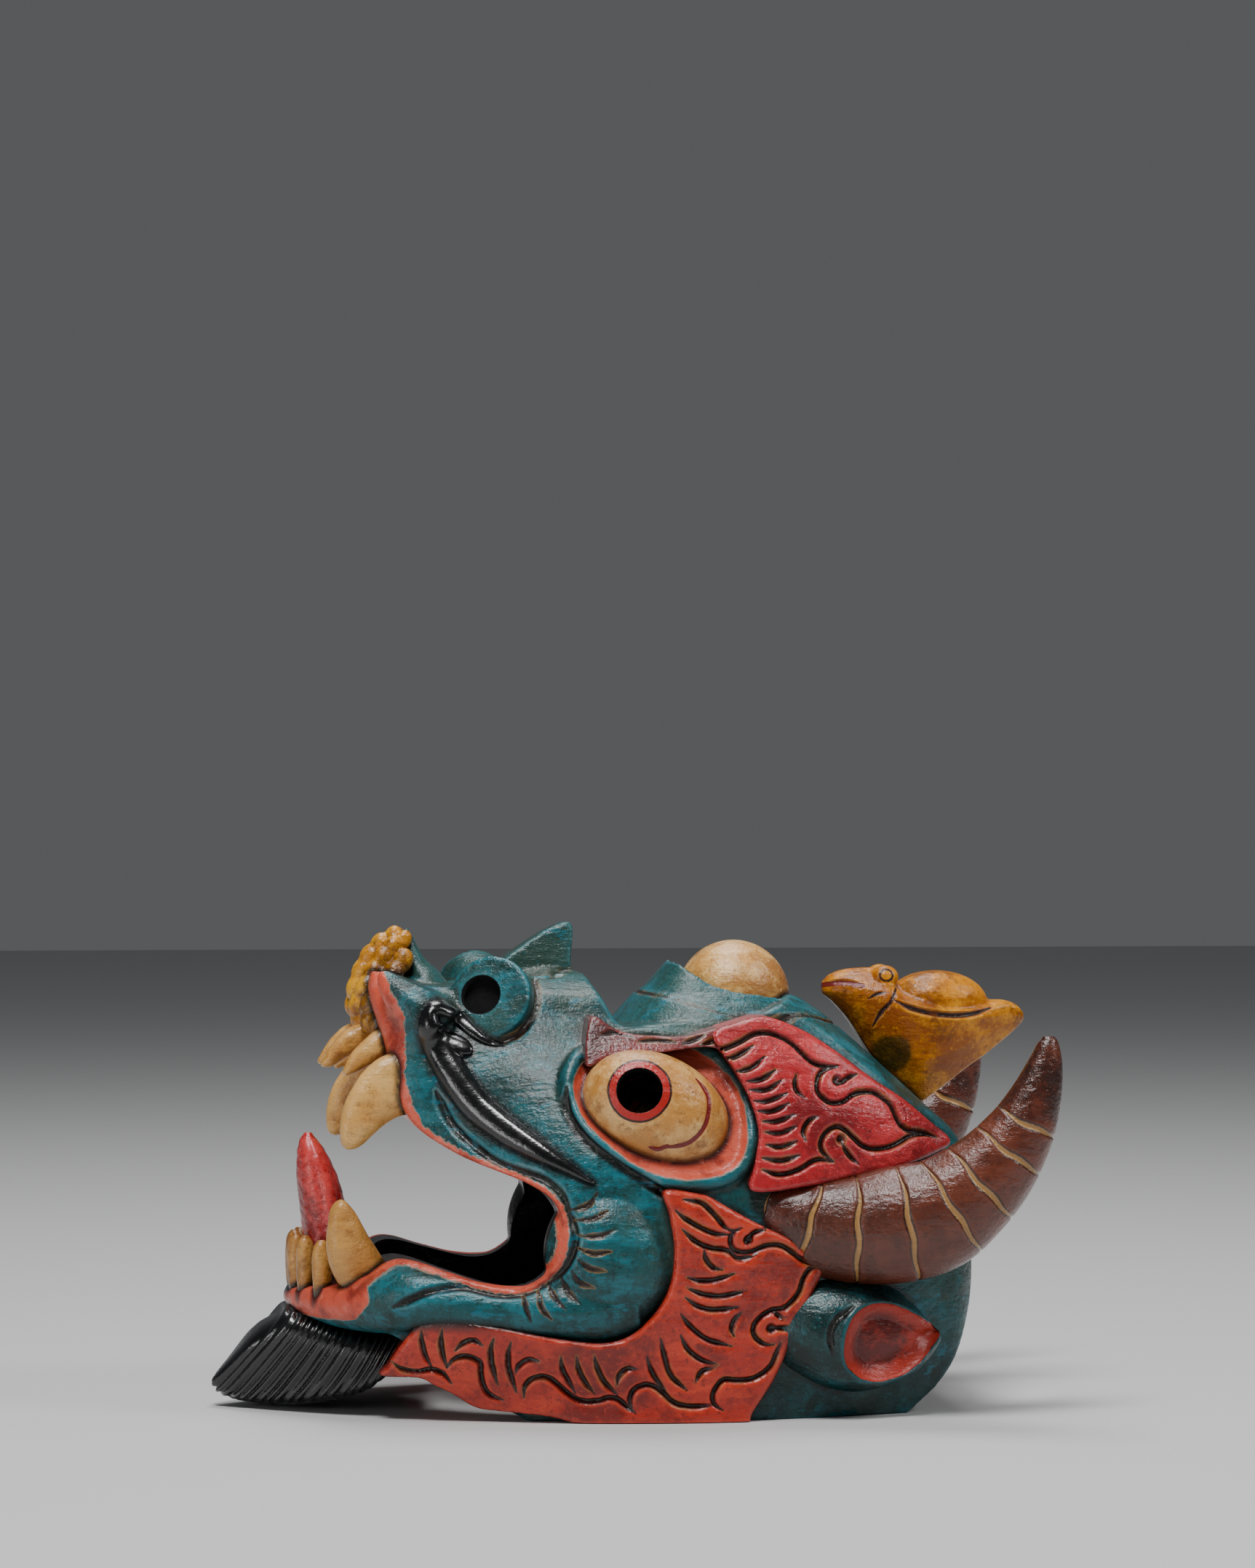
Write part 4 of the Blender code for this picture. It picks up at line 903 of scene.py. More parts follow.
def mark_head(head):
    """Notes where the head's paint changes: red above 0 on the lips and sockets, and black above 0 inside."""
    places, _ = surface(head)
    side = places[:, [0, 2]]
    mouth = distance_to(side, line_through(MOUTH_LINE, 8), reach=30)
    x, y, z = places.T
    wide = np.where(x > -92, 1.6, read_off(z, LIP_BAND))
    flange = np.minimum(read_off(z, JAW_BAND) - x, z - 40)
    flange = np.where(z < 90, flange, -PATCH_REACH)
    socket = inside_of(side, line_through(SOCKET, 6, closed=True)) - 2.2
    socket = np.where(np.abs(y) > 50, socket, -PATCH_REACH)
    red = np.maximum(np.maximum(wide - mouth, flange), socket)
    note(head, "red", np.clip(red, -PATCH_REACH, PATCH_REACH))
    sunk = np.array([half_width(*place) for place in side]) - np.abs(y)
    top = np.minimum(read_off(x, TOP_LINE[:20]), read_off(x, BLACK_TOP))
    black = np.minimum(sunk - 6, top - z - 5)
    dull = np.full(len(places), -PATCH_REACH)
    for mirror in (-1, 1):
        face, inward = np.array(at_side(NOSTRIL_HOLE, mirror)), np.array(at_side(NOSTRIL_INWARD, mirror))
        along = (places - face) @ inward
        radial = np.linalg.norm(places - face - np.outer(along, inward), axis=1)
        bore = np.where(np.abs(along) < 9, NOSTRIL_BORE + 0.35 - radial, -PATCH_REACH)
        dull = np.maximum(dull, bore)
    note(head, "dull", np.clip(dull, -PATCH_REACH, PATCH_REACH))
    note(head, "inside", np.clip(np.maximum(black, dull), -PATCH_REACH, PATCH_REACH))


def make_gum():
    """The gum boss under the nose, covered with rows of small scales."""
    forms = [
        ball("gum", (-103, 0, 182.5), (8.5, 10.5, 15), tilt=20),
        ball("gum", (-103, 0, 167.5), (13, 23, 11)),
    ]
    for row, (x, z, half, back, size) in enumerate(GUM_ROWS):
        length = math.pi * (half + back) / 2 * 1.1
        count = max(3, round(length / (GUM_PITCH * size)))
        radii = (size * 1.12, size * 1.14, size * 1.5)
        for k in range(count):
            turn = GUM_TURN * (2 * (k + 0.5 * (row % 2)) / (count - 0.5) - 1)
            place = (
                x + back * (1 - math.cos(turn)) + GUM_SINK * math.cos(turn),
                (half - GUM_SINK) * math.sin(turn),
                z - 1.5 * (1 - math.cos(turn)),
            )
            forms.append(ball("scale", place, radii, tilt=25, detail=3))
    return fuse(join("gum", forms), voxel=0.5, smoothing=2)


def scrollwork(scrolls, feathers):
    """The border's scrolls and the feather cuts inside it, with their half widths and depths."""
    return [(line, 1.35, 2.3) for line in scrolls] + [(line, 1.4, 1.9) for line in feathers]


def make_flame():
    """The flame-shaped brow, with its border scrolls and a row of feather cuts along the eye."""
    field = raised_field("brow_flame_left", FLAME, FLAME_LIFT, FLAME_SHOULDER)
    flame = fuse(field, voxel=0.72, smoothing=2)
    pillow(flame, FLAME, reach=2.0, drop=1.0)
    carve(flame, scrollwork(FLAME_LINES, FLAME_CUTS), where=outward, roll=0.7)
    return dig_pits(flame, FLAME_PITS)


def make_brow():
    """The maroon band that runs from the flame over the eye."""
    field = raised_field("brow_band_left", BROW_BAND, BROW_LIFT, FLAME_SHOULDER * 0.8)
    band = fuse(field, voxel=0.8, smoothing=3)
    return carve(band, [(line, 1.3, 1.3) for line in BROW_CUTS], where=outward, roll=0.5)


def make_fringe():
    """The cheek fringe, with scrolls along its edge and feather cuts fanning from the cheek."""
    fringe = fuse(raised_field("cheek_fringe_left", FRINGE, FRINGE_LIFT), voxel=0.85, smoothing=2)
    pillow(fringe, FRINGE, reach=2.4, drop=1.2)
    carve(fringe, scrollwork(FRINGE_LINES, FRINGE_CUTS), where=outward, roll=0.7)
    dig_pits(fringe, FRINGE_PITS)
    return level_foot(fringe)


def level_foot(obj):
    """Lifts what lies under the floor up to it."""
    places, _ = surface(obj)
    places[:, 2] = np.maximum(places[:, 2], 0.0)
    move_surface(obj, places)
    return obj


def dig_pits(obj, pits, radius=2.3, deep=2.6):
    """The eyes of the scrolls, drilled by the knife's point."""
    places, normals = surface(obj)
    depth = np.zeros(len(places))
    line = noted(obj, "line").astype(float)
    out = outward(places, normals)
    for x, z in pits:
        near = np.hypot(places[:, 0] - x, places[:, 2] - z)
        depth = np.maximum(depth, deep * np.clip(1 - near / radius, 0, 1) ** 0.6 * out)
        line = np.where(out, np.minimum(line, near / radius * 1.05), line)
    move_surface(obj, places - normals * depth[:, None])
    note(obj, "line", line)
    return obj


def laid_band(name, band, wall):
    """A bar with a crest along it that lies on the head's wall, from its middle line and half widths."""
    points = line_through(band, 9)
    rings = []
    for i, (x, z, half) in enumerate(points):
        ahead = points[min(i + 1, len(points) - 1)][:2] - points[max(i - 1, 0)][:2]
        across = np.array((-ahead[1], ahead[0])) / np.linalg.norm(ahead)
        outer, inner = [], []
        for share in np.linspace(-1, 1, 21):
            px, pz = np.array((x, z)) + across * half * share
            outside = Vector(((px - MIDDLE_X) * MM, (FIELD_OUTER - 10) * MM, pz * MM))
            deep = wall.ray_cast(outside, Vector((0, 1, 0)))[0].y / MM
            crest = 1 - abs(share) ** 1.6
            sharp = 0.25 + 0.35 * max(0.0, 1 - 2.5 * i / len(points))
            rise = (0.9 + 0.55 * half) * (1 - sharp + sharp * crest) * (1 - abs(share) ** 5)
            outer.append((px, deep - rise, pz))
            inner.append((px, deep + 2.5, pz))
        rings.append(outer + inner[::-1])
    return loft(name, rings)


def make_moustache(head):
    """The hooked moustache, laid on the head's side, with a crest along its middle."""
    wall = search_tree([head])
    bars = [laid_band(f"band_{k}", band, wall) for k, band in enumerate(MOUSTACHE)]
    moustache = fuse(join("moustache_left", bars), voxel=0.55, smoothing=3)
    note_uncut(moustache)
    return moustache


def make_eye():
    """The eyeball, bored for the wearer, with a red ring and thin veins."""
    eye = ball("eyeball_left", at_side(EYE_CENTRE, -1), EYE_RADII, tilt=28, detail=6)
    start, end = at_side(PUPIL_FROM, -1), at_side(PUPIL_TO, -1)
    combine(eye, drum("bore", start, end, PUPIL_RADIUS), "DIFFERENCE")
    places, _ = surface(eye)
    along = np.array(end - start)
    along /= np.linalg.norm(along)
    from_start = places - np.array(start)
    radial = np.linalg.norm(from_start - np.outer(from_start @ along, along), axis=1)
    note(eye, "radial", radial)
    return carve(eye, [(line, 1.1, 0.5) for line in VEINS], where=outward)


def make_dome():
    """The third eye's dome."""
    dome = ball("third_eye", DOME_CENTRE, DOME_RADII, tilt=14, detail=6)
    note_uncut(dome)
    return dome


def make_ear():
    """A leaf-shaped ear that lies back along the head, hollowed to its pointed tip."""
    path = (
        (52, -68, 38, 12), (60, -70, 37, 18), (71, -71, 36, 22), (84, -71, 33.5, 23.5),
        (96, -70, 32.5, 21.5), (105, -69, 31.5, 17.5), (113, -68, 31.5, 12), (119, -68, 32.3, 5),
        (121.5, -68, 33, 1.6),
    )
    ear = fuse(sweep("ear_left", path, 0.92, sides=48), voxel=0.7, smoothing=2)
    places, normals = surface(ear)
    deep = inside_of(places[:, [0, 2]], line_through(EAR_HOLLOW, 6, closed=True))
    front = outward(places, normals)
    note(ear, "red", np.where(front, deep, -PATCH_REACH))
    places[:, 1] += EAR_HOLLOW_DEPTH * front * np.clip(deep / 7, 0, 1) ** 0.7
    places[:, 1] -= 0.8 * front * np.exp(-((deep + 1.2) / 1.6) ** 2)
    move_surface(ear, places)
    return carve(ear, [(EAR_LINE, 1.8, 1.4)], where=outward, noted_as="groove", roll=0.3)


def make_beard():
    """The ridged beard, which sweeps back from under the lip to a point."""
    stations = (
        (-88, 48, 26, 37), (-97, 53, 20, 38), (-104, 54, 14.5, 38), (-112, 53, 8, 38.5),
        (-122, 48, 4, 40), (-134, 40, 1.5, 42), (-144, 32, 0.6, 42.5), (-152, 25, 1, 36.5),
        (-161, 16.5, 1.6, 29), (-168, 10, 3, 20.5), (-173, 5, 5, 15), (-175.5, 2, 7.5, 11),
    )
    rings = []
    for x, half, low, high in line_through(stations, 8):
        middle, tall = (low + high) / 2, (high - low) / 2
        ring = []
        for k in range(72):
            t = 2 * math.pi * k / 72
            across, up = squared(math.cos(t), 0.6), squared(math.sin(t), 0.75)
            ring.append((x, half * across, middle + tall * up))
        rings.append(ring)
    beard = fuse(loft("beard", rings), voxel=0.52, smoothing=3)
    places, normals = surface(beard)
    turn = np.arctan2(places[:, 2] - BEARD_FAN[1], places[:, 0] - BEARD_FAN[0])
    bend = 0.25 * np.sin(places[:, 0] * 0.05 + 1) + 0.3 * np.sin(turn * 40) + 0.12 * np.sin(turn * 170)
    tooth = np.abs(((turn / BEARD_PITCH + bend) % 1.0) * 2 - 1)
    uneven = 0.85 + 0.15 * np.sin(turn * 230)
    depth = BEARD_CUT * np.clip(1 - tooth / 0.8, 0, 1) * uneven
    depth *= np.clip((0.985 - np.abs(normals[:, 2])) / 0.1, 0, 1)
    move_surface(beard, places - normals * depth[:, None])
    note_uncut(beard)
    return level_foot(beard)


def make_horn():
    """A curved horn with cut rings."""
    horn = sweep("horn_left_skin", HORN, HORN_ROUND, sides=56, per_span=24)
    places, normals = surface(horn)
    path = line_through(HORN, 24)
    heading = np.gradient(path[:, [0, 2]], axis=0)
    heading /= np.linalg.norm(heading, axis=1)[:, None]
    closest = np.full(len(places), OFF_LINE)
    for x, z in HORN_RINGS:
        k = int(np.argmin(np.hypot(path[:, 0] - x, path[:, 2] - z)))
        from_ring = places[:, [0, 2]] - path[k, [0, 2]]
        offset = from_ring @ heading[k]
        across = from_ring @ np.array((-heading[k][1], heading[k][0]))
        near = np.hypot(places[:, 0] - path[k, 0], places[:, 2] - path[k, 2]) < path[k, 3] * 1.6
        bowed = offset - 1.6 * (across / path[k, 3]) ** 2 + 0.5 * np.sin(across * 0.35)
        wide = 0.35 + 1.35 * np.clip(1 - (across / path[k, 3] + 0.1) ** 2, 0, 1)
        closest = np.where(near, np.minimum(closest, np.abs(bowed) / wide), closest)
    depth = 1.2 * np.clip(1 - closest, 0, 1) ** 0.8
    move_surface(horn, places - normals * depth[:, None])
    note(horn, "line", closest)
    return horn


def fang(name, front, back, y, thickness, swing):
    """A tooth between its two drawn edges, oval across and turned about its middle."""
    count = 26
    edges = []
    for side in (front, back):
        line = line_through(side, 8)
        run = np.concatenate([[0], np.cumsum(np.hypot(*np.diff(line, axis=0).T))])
        steps = np.linspace(0, run[-1], count)
        edges.append(np.column_stack([np.interp(steps, run, line[:, k]) for k in (0, 1)]))
    widest = np.linalg.norm(edges[0] - edges[1], axis=1).max()
    rings = []
    for a, b in zip(*edges):
        middle, reach = (a + b) / 2, (a - b) / 2
        thick = thickness / 2 * (2 * np.linalg.norm(reach) / widest) ** 0.55
        ring = []
        for k in range(32):
            t = 2 * math.pi * k / 32
            along, out = squared(math.cos(t), 0.85), squared(math.sin(t), 0.85)
            ring.append((middle[0] + reach[0] * along, y + thick * out, middle[1] + reach[1] * along))
        rings.append(ring)
    return turned(loft(name, rings), swing, edges[0].mean(0)[0], y)


def turned(tooth, swing, x, y):
    """Turns a tooth about the upright line at x and y, and leaves the knife's marks on it."""
    middle = Vector(((x - MIDDLE_X) * MM, y * MM, 0))
    turn = Matrix.Rotation(math.radians(swing), 4, "Z")
    tooth.data.transform(Matrix.Translation(middle) @ turn @ Matrix.Translation(-middle))
    roughen(tooth, 9, 0.3, seed=len(tooth.name))
    note_uncut(tooth)
    return tooth


def make_teeth():
    """The left half of the fangs and incisors, with the CAD node that each one stands for."""
    teeth = {
        "lower_fang_left": fang("lower_fang_left_skin", *LOWER_FANG, -49, 13, 24),
        "upper_fang_left": fang("upper_fang_left_skin", *UPPER_FANG, -43, 13, 10),
    }
    for k, (x, y, z, swing) in enumerate(LOWER_INCISORS):
        name = f"lower_incisor_left_{k + 1}"
        path = [(x + 0.4 * math.sin(rise * 0.2), -y, z + rise, half) for rise, half in LOWER_INCISOR_RINGS]
        peg = sweep(name + "_skin", path, 0.82, sides=28, per_span=6)
        teeth[name] = turned(peg, swing, x, -y)
    for k, (edges, y) in enumerate(zip(UPPER_INCISORS, UPPER_INCISOR_Y)):
        name = f"upper_incisor_left_{k + 1}"
        teeth[name] = fang(name + "_skin", *edges, -y, 9.5, 6)
    return teeth


def make_tongue():
    """The tongue: a tapering bar with a crest along it, roughened all over."""
    path = (
        (-126, 0, 54, 9), (-127.5, 0, 66, 9.8), (-128.5, 0, 78, 10), (-130.5, 0, 90, 9.6),
        (-133, 0, 101, 7.6), (-134.8, 0, 109, 4.6), (-135.2, 0, 113.6, 1.6),
    )

    def crested(x, z, turn):
        crest = math.exp(-((math.cos(turn - math.pi * 1.38) - 1) / 0.045) ** 2)
        return 1 + 0.12 * crest - 0.05 * math.cos(2 * turn)

    tongue = sweep("tongue_skin", path, 1.1, sides=72, per_span=12, shape=crested)
    note_uncut(tongue)
    roughen(tongue, 7, 0.45, seed=5)
    roughen(tongue, 3.2, 0.22, seed=6)
    return tongue


def make_frog():
    """The frog on the crown: a wedge of a body, a humped back and a blunt head with bulging eyes."""
    half = 18.0
    stations = (
        (83, 0.14, 171, 173.5, 176), (87, 0.38, 168, 174, 179.5), (94, 0.58, 160, 173.5, 181.5),
        (103, 0.75, 146, 172, 182), (110, 0.9, 138, 169, 181), (116, 1.0, 132, 166.5, 173),
        (124, 1.0, 125.5, 164.5, 171), (134, 0.97, 131.5, 163, 169), (144, 0.85, 139, 162.5, 168),
        (153, 0.62, 145, 163.5, 168), (161, 0.4, 151, 164.5, 168), (167, 0.26, 156, 163.5, 166),
        (170, 0.12, 159, 161, 162.5),
    )
    rings = []
    for x, share, low, ridge, high in line_through(stations, 6):
        w = half * share
        flank = [
            (0.42 * w, low), (0.8 * w, low + 0.45 * (ridge - low)), (w, ridge - 2), (0.93 * w, ridge + 1.5),
            (0.6 * w, ridge + 0.75 * (high - ridge)), (0.15 * w, high),
        ]
        rings.append([(x, y, z) for y, z in flank] + [(x, -y, z) for y, z in flank[::-1]])
    forms = [loft("frog_body", rings), ball("hump", (133, 0, 167.5), (21.5, 14.5, 13.2), tilt=3)]
    forms += [ball("frog_eye", (109, s * 6.5, 178), (6, 5.5, 5.2)) for s in (-1, 1)]
    frog = fuse(join("frog_skin", forms), voxel=0.7, smoothing=4)
    lines = [
        (((82, 175), (91, 176.3), (100, 175)), 1.1, 0.9),
        (((112, 168.5), (120, 165), (132, 162.5), (144, 162.5), (154, 165)), 1.6, 1.3),
        (((103, 157), (106, 163), (110, 168), (114, 175)), 1.2, 0.7),
        (((101, 169), (104, 171), (108, 172)), 1.0, 0.6),
    ]
    for k in range(10):
        t = 2 * math.pi * k / 10
        ends = [(109 + 2.9 * math.cos(a), 179 + 2.6 * math.sin(a)) for a in (t, t + 0.63)]
        lines.append((ends, 0.6, 0.35))
    carve(frog, lines, where=outward)
    places, _ = surface(frog)
    note(frog, "patch", 8 - np.hypot(places[:, 0] - 112, places[:, 2] - 146))
    mouth = line_through(((82, 174.6), (91, 175.6), (99, 174.6)), 6)
    note(frog, "red", 1.4 - distance_to(places[:, [0, 2]], mouth))
    return frog


class Paint:
    """A painted and varnished wood surface, put together from noise and from what the carving noted."""

    def __init__(self, name):
        self.material = bpy.data.materials.new(name)
        self.material.use_nodes = True
        self.tree = self.material.node_tree
        self.shader = self.tree.nodes["Principled BSDF"]
        self.coords = self.tree.nodes.new("ShaderNodeTexCoord").outputs["Object"]
        self.colour = None

    def node(self, kind, settings):
        """A new shader node with these values on its sockets."""
        made = self.tree.nodes.new(kind)
        for socket, value in settings.items():
            made.inputs[socket].default_value = value
        return made

    def noise(self, scale, detail=4.0, roughness=0.55, stretch=(1, 1, 1), shift=0.0):
        """A cloudy pattern from 0 to 1, scale in cells per metre."""
        offset = (shift, shift * 0.7, shift * 1.3)
        place = self.node("ShaderNodeMapping", {"Scale": stretch, "Location": offset})
        self.tree.links.new(self.coords, place.inputs["Vector"])
        settings = {"Scale": scale, "Detail": detail, "Roughness": roughness}
        node = self.node("ShaderNodeTexNoise", settings)
        self.tree.links.new(place.outputs["Vector"], node.inputs["Vector"])
        return node.outputs["Fac"]

    def height(self):
        """How high a place is, in metres."""
        node = self.tree.nodes.new("ShaderNodeSeparateXYZ")
        self.tree.links.new(self.coords, node.inputs["Vector"])
        return node.outputs["Z"]

    def kept(self, name):
        """What the carving noted under that name."""
        node = self.tree.nodes.new("ShaderNodeAttribute")
        node.attribute_name = name
        return node.outputs["Fac"]

    def math(self, operation, a, b=0.5, c=0.0):
        """One step of arithmetic on sockets or numbers."""
        node = self.tree.nodes.new("ShaderNodeMath")
        node.operation = operation
        for socket, value in zip(node.inputs, (a, b, c)):
            if isinstance(value, (int, float)):
                socket.default_value = value
            else:
                self.tree.links.new(value, socket)
        return node.outputs[0]

    def both(self, one, other):
        """1 where both masks are 1."""
        return self.math("MULTIPLY", one, other)

    def swing(self, cloud, reach):
        """A cloudy pattern that runs from -reach to reach."""
        return self.math("MULTIPLY_ADD", cloud, 2 * reach, -reach)

    def between(self, value, low, high):
        """0 below low and 1 above high, with a smooth way between; low above high turns it round."""
        start, end = (0.0, 1.0) if low < high else (1.0, 0.0)
        limits = {"From Min": min(low, high), "From Max": max(low, high), "To Min": start, "To Max": end}
        node = self.node("ShaderNodeMapRange", limits)
        node.interpolation_type = "SMOOTHSTEP"
        self.tree.links.new(value, node.inputs["Value"])
        return node.outputs["Result"]

    def ground(self, colour):
        """The first coat."""
        node = self.tree.nodes.new("ShaderNodeRGB")
        node.outputs[0].default_value = (*colour, 1)
        self.colour = node.outputs[0]

    def over(self, colour, mask, strength=1.0):
        """Paints a colour over what is there, where mask is 1."""
        if strength < 1:
            mask = self.math("MULTIPLY", mask, strength)
        node = self.tree.nodes.new("ShaderNodeMix")
        node.data_type = "RGBA"
        under, upper = [socket for socket in node.inputs if socket.type == "RGBA"]
        self.tree.links.new(mask, node.inputs["Factor"])
        self.tree.links.new(self.colour, under)
        upper.default_value = (*colour, 1)
        self.colour = next(socket for socket in node.outputs if socket.type == "RGBA")

    def finish(self, roughness=(0.25, 0.5), coat=0.7, grain=0.8, level=0.18, dull=None):
        """Varnish with an uneven sheen over fine brush and tool marks; where dull is 1 there is none."""
        links = self.tree.links
        links.new(self.colour, self.shader.inputs["Base Color"])
        limits = {"From Min": 0.3, "From Max": 0.7, "To Min": roughness[0], "To Max": roughness[1]}
        sheen = self.node("ShaderNodeMapRange", limits)
        links.new(self.noise(160, 4, 0.65), sheen.inputs["Value"])
        uneven = sheen.outputs["Result"]
        self.shader.inputs["Coat Weight"].default_value = coat
        self.shader.inputs["Coat Roughness"].default_value = COAT_ROUGHNESS
        self.shader.inputs["Specular IOR Level"].default_value = level
        if dull:
            uneven = self.math("ADD", uneven, self.math("MULTIPLY", dull, 0.5))
            links.new(self.math("MULTIPLY_ADD", dull, -coat, coat), self.shader.inputs["Coat Weight"])
        links.new(uneven, self.shader.inputs["Roughness"])
        fine = self.math("MULTIPLY", self.noise(560, 4, 0.65), 0.5)
        strokes = self.math("MULTIPLY", self.noise(230, 4, 0.62, stretch=(0.14, 1, 0.8)), 0.9)
        knife = self.math("MULTIPLY", self.noise(62, 3, stretch=(0.5, 1, 1)), 1.1)
        marks = self.math("ADD", self.math("ADD", fine, strokes), knife)
        for socket, strength in (("Normal", grain), ("Coat Normal", grain * 0.8)):
            bump = self.node("ShaderNodeBump", {"Strength": strength, "Distance": BUMP_DEPTH})
            links.new(marks, bump.inputs["Height"])
            links.new(bump.outputs["Normal"], self.shader.inputs[socket])
        return self.material


BROWN_CUT = (0.020, 0.006, 0.003)
TAN_EDGE = (0.36, 0.18, 0.05)
# A dark glaze for the grooves, also used as painted shade where pieces meet
GLAZE_AND_SHADE = (0.006, 0.005, 0.004)
# A pale painted highlight along the edges of the grooves
PAINTED_GROOVE_HIGHLIGHT = (0.17, 0.25, 0.24)
# Painted shade on the red paint where other pieces stand against it
RED_CONTACT_SHADE = (0.05, 0.008, 0.006)


def weathered(name, ground, bright, deep, cut=BROWN_CUT, edge=TAN_EDGE):
    """Two tones of brushed paint, darker hollows that are partly a dark glaze and partly painted shade,
    painted highlights on ridges, painted shade where other pieces stand against it, a dark glaze in the
    grooves with a patchy painted highlight along their edges, and carved lines with a brown core and
    worn edges."""
    paint = Paint(name)
    paint.ground(ground)
    strokes = paint.noise(95, 5, 0.65, stretch=(0.16, 1, 0.9), shift=1.3)
    paint.over(bright, paint.between(strokes, 0.47, 0.62), 0.7)
    paint.over(bright, paint.between(paint.noise(34, 5, shift=0.4), 0.5, 0.66), 0.65)
    paint.over(deep, paint.between(paint.noise(21, 8, 0.72, shift=3.1), 0.47, 0.6), 0.85)
    paint.over(deep, paint.between(paint.noise(240, 5, 0.75, shift=6.1), 0.53, 0.66), 0.6)
    specks = paint.noise(420, 4, 0.7, shift=2.9)
    paint.over(deep, paint.between(specks, 0.56, 0.68), 0.7)
    paint.over(bright, paint.between(specks, 0.42, 0.33), 0.5)
    # Painted highlights on ridges, and darker hollows that are partly a dark glaze and partly painted shade
    paint.over(bright, paint.between(paint.kept("cavity"), -0.12, -0.7), 0.6)
    paint.over(deep, paint.between(paint.kept("cavity"), 0.06, 0.55))
    # Painted shade where other pieces stand against this one
    paint.over(GLAZE_AND_SHADE, paint.between(paint.kept("contact"), 0.25, 0.95), 0.92)
    wavy = paint.swing(paint.noise(300, 3, shift=1.7), 0.25)
    fine = paint.noise(70, 5, 0.65, shift=5)
    # A dark glaze in the grooves, with a patchy painted highlight along their edges
    groove = paint.math("ADD", paint.kept("groove"), wavy)
    groove_glint = paint.both(paint.between(groove, 1.8, 1.5), paint.between(fine, 0.48, 0.6))
    paint.over(PAINTED_GROOVE_HIGHLIGHT, groove_glint, 0.3)
    paint.over(GLAZE_AND_SHADE, paint.between(groove, 1.3, 0.5), 0.95)
    line = paint.math("ADD", paint.kept("line"), wavy)
    worn = paint.both(paint.between(line, 1.4, 1.05), paint.between(fine, 0.46, 0.58))
    paint.over(edge, worn, 0.7)
    paint.over(deep, paint.between(line, 1.25, 0.8), 0.7)
    paint.over(cut, paint.between(line, 0.8, 0.45))
    return paint


def head_paint():
    """Teal over the head, salmon red on the lips and in the sockets, gloss black inside the hollow."""
    paint = weathered("teal_paint", (0.003, 0.066, 0.072), (0.008, 0.170, 0.215), (0.003, 0.018, 0.015))
    paint.over((0.034, 0.070, 0.050), paint.between(paint.noise(13, 7, 0.7, shift=8), 0.45, 0.62), 0.55)
    # Patchy painted shade towards the bottom of the head
    patchy = paint.between(paint.noise(30, 6, 0.7, shift=2.4), 0.36, 0.56)
    shade_low_down = paint.between(paint.height(), 0.055, 0.012)
    paint.over((0.004, 0.015, 0.012), paint.both(shade_low_down, patchy), 0.8)
    brushed = paint.noise(150, 5, 0.7, stretch=(0.3, 1, 1), shift=4.2)
    paint.over((0.004, 0.15, 0.21), paint.between(brushed, 0.58, 0.66), 0.6)
    ragged = paint.swing(paint.noise(170, 4, shift=2), 0.9)
    red = paint.math("ADD", paint.kept("red"), ragged)
    painted = paint.between(red, -0.15, 0.15)
    paint.over((0.40, 0.30, 0.22), paint.between(red, -0.75, -0.15), 0.55)
    paint.over((0.60, 0.085, 0.045), painted)
    streaks = paint.between(paint.noise(120, 5, stretch=(0.3, 1, 1)), 0.5, 0.66)
    paint.over((0.66, 0.15, 0.10), paint.both(painted, streaks), 0.8)
    stains = paint.between(paint.noise(48, 6, 0.65, shift=4), 0.49, 0.68)
    paint.over((0.17, 0.014, 0.009), paint.both(painted, stains), 0.85)
    # Painted shade on the red where other pieces stand against it
    paint.over(RED_CONTACT_SHADE, paint.both(painted, paint.between(paint.kept("contact"), 0.3, 0.95)))
    black = paint.between(paint.kept("inside"), -0.15, 0.15)
    paint.over((0.004, 0.004, 0.0045), black)
    chipped = paint.between(paint.noise(34, 6, 0.7, shift=9), 0.63, 0.68)
    paint.over((0.05, 0.024, 0.012), paint.both(black, chipped))
    return paint.finish(roughness=(0.24, 0.5), coat=0.5, dull=paint.between(paint.kept("dull"), -0.2, 0.3))


def eye_paint():
    """Mottled ochre with a red ring round the pupil and dark red veins."""
    paint = Paint("eye_paint")
    paint.ground((0.50, 0.22, 0.045))
    paint.over((0.68, 0.40, 0.14), paint.between(paint.noise(55, 7, 0.7), 0.43, 0.6))
    paint.over((0.24, 0.085, 0.012), paint.between(paint.noise(26, 8, 0.75, shift=3), 0.47, 0.66), 0.85)
    paint.over((0.24, 0.09, 0.015), paint.between(paint.noise(190, 6, 0.75, shift=7), 0.51, 0.64), 0.7)
    # Painted shade where the eyeball meets the head
    paint.over((0.06, 0.02, 0.006), paint.between(paint.kept("contact"), 0.05, 0.9), 0.9)
    paint.over((0.17, 0.008, 0.006), paint.between(paint.kept("line"), 1.0, 0.8))
    uneven = paint.swing(paint.noise(120, 3), 0.45)
    ring = paint.math("ADD", paint.kept("radial"), uneven)
    paint.over((0.03, 0.006, 0.004), paint.between(ring, EYE_RING_RADIUS + 0.9, EYE_RING_RADIUS + 0.4))
    paint.over((0.40, 0.014, 0.010), paint.between(ring, EYE_RING_RADIUS, EYE_RING_RADIUS - 0.5))
    bore = paint.between(paint.kept("radial"), PUPIL_RADIUS + 0.35, PUPIL_RADIUS + 0.1)
    paint.over((0.002, 0.002, 0.002), bore)
    return paint.finish(roughness=(0.2, 0.42), coat=0.7, dull=bore)


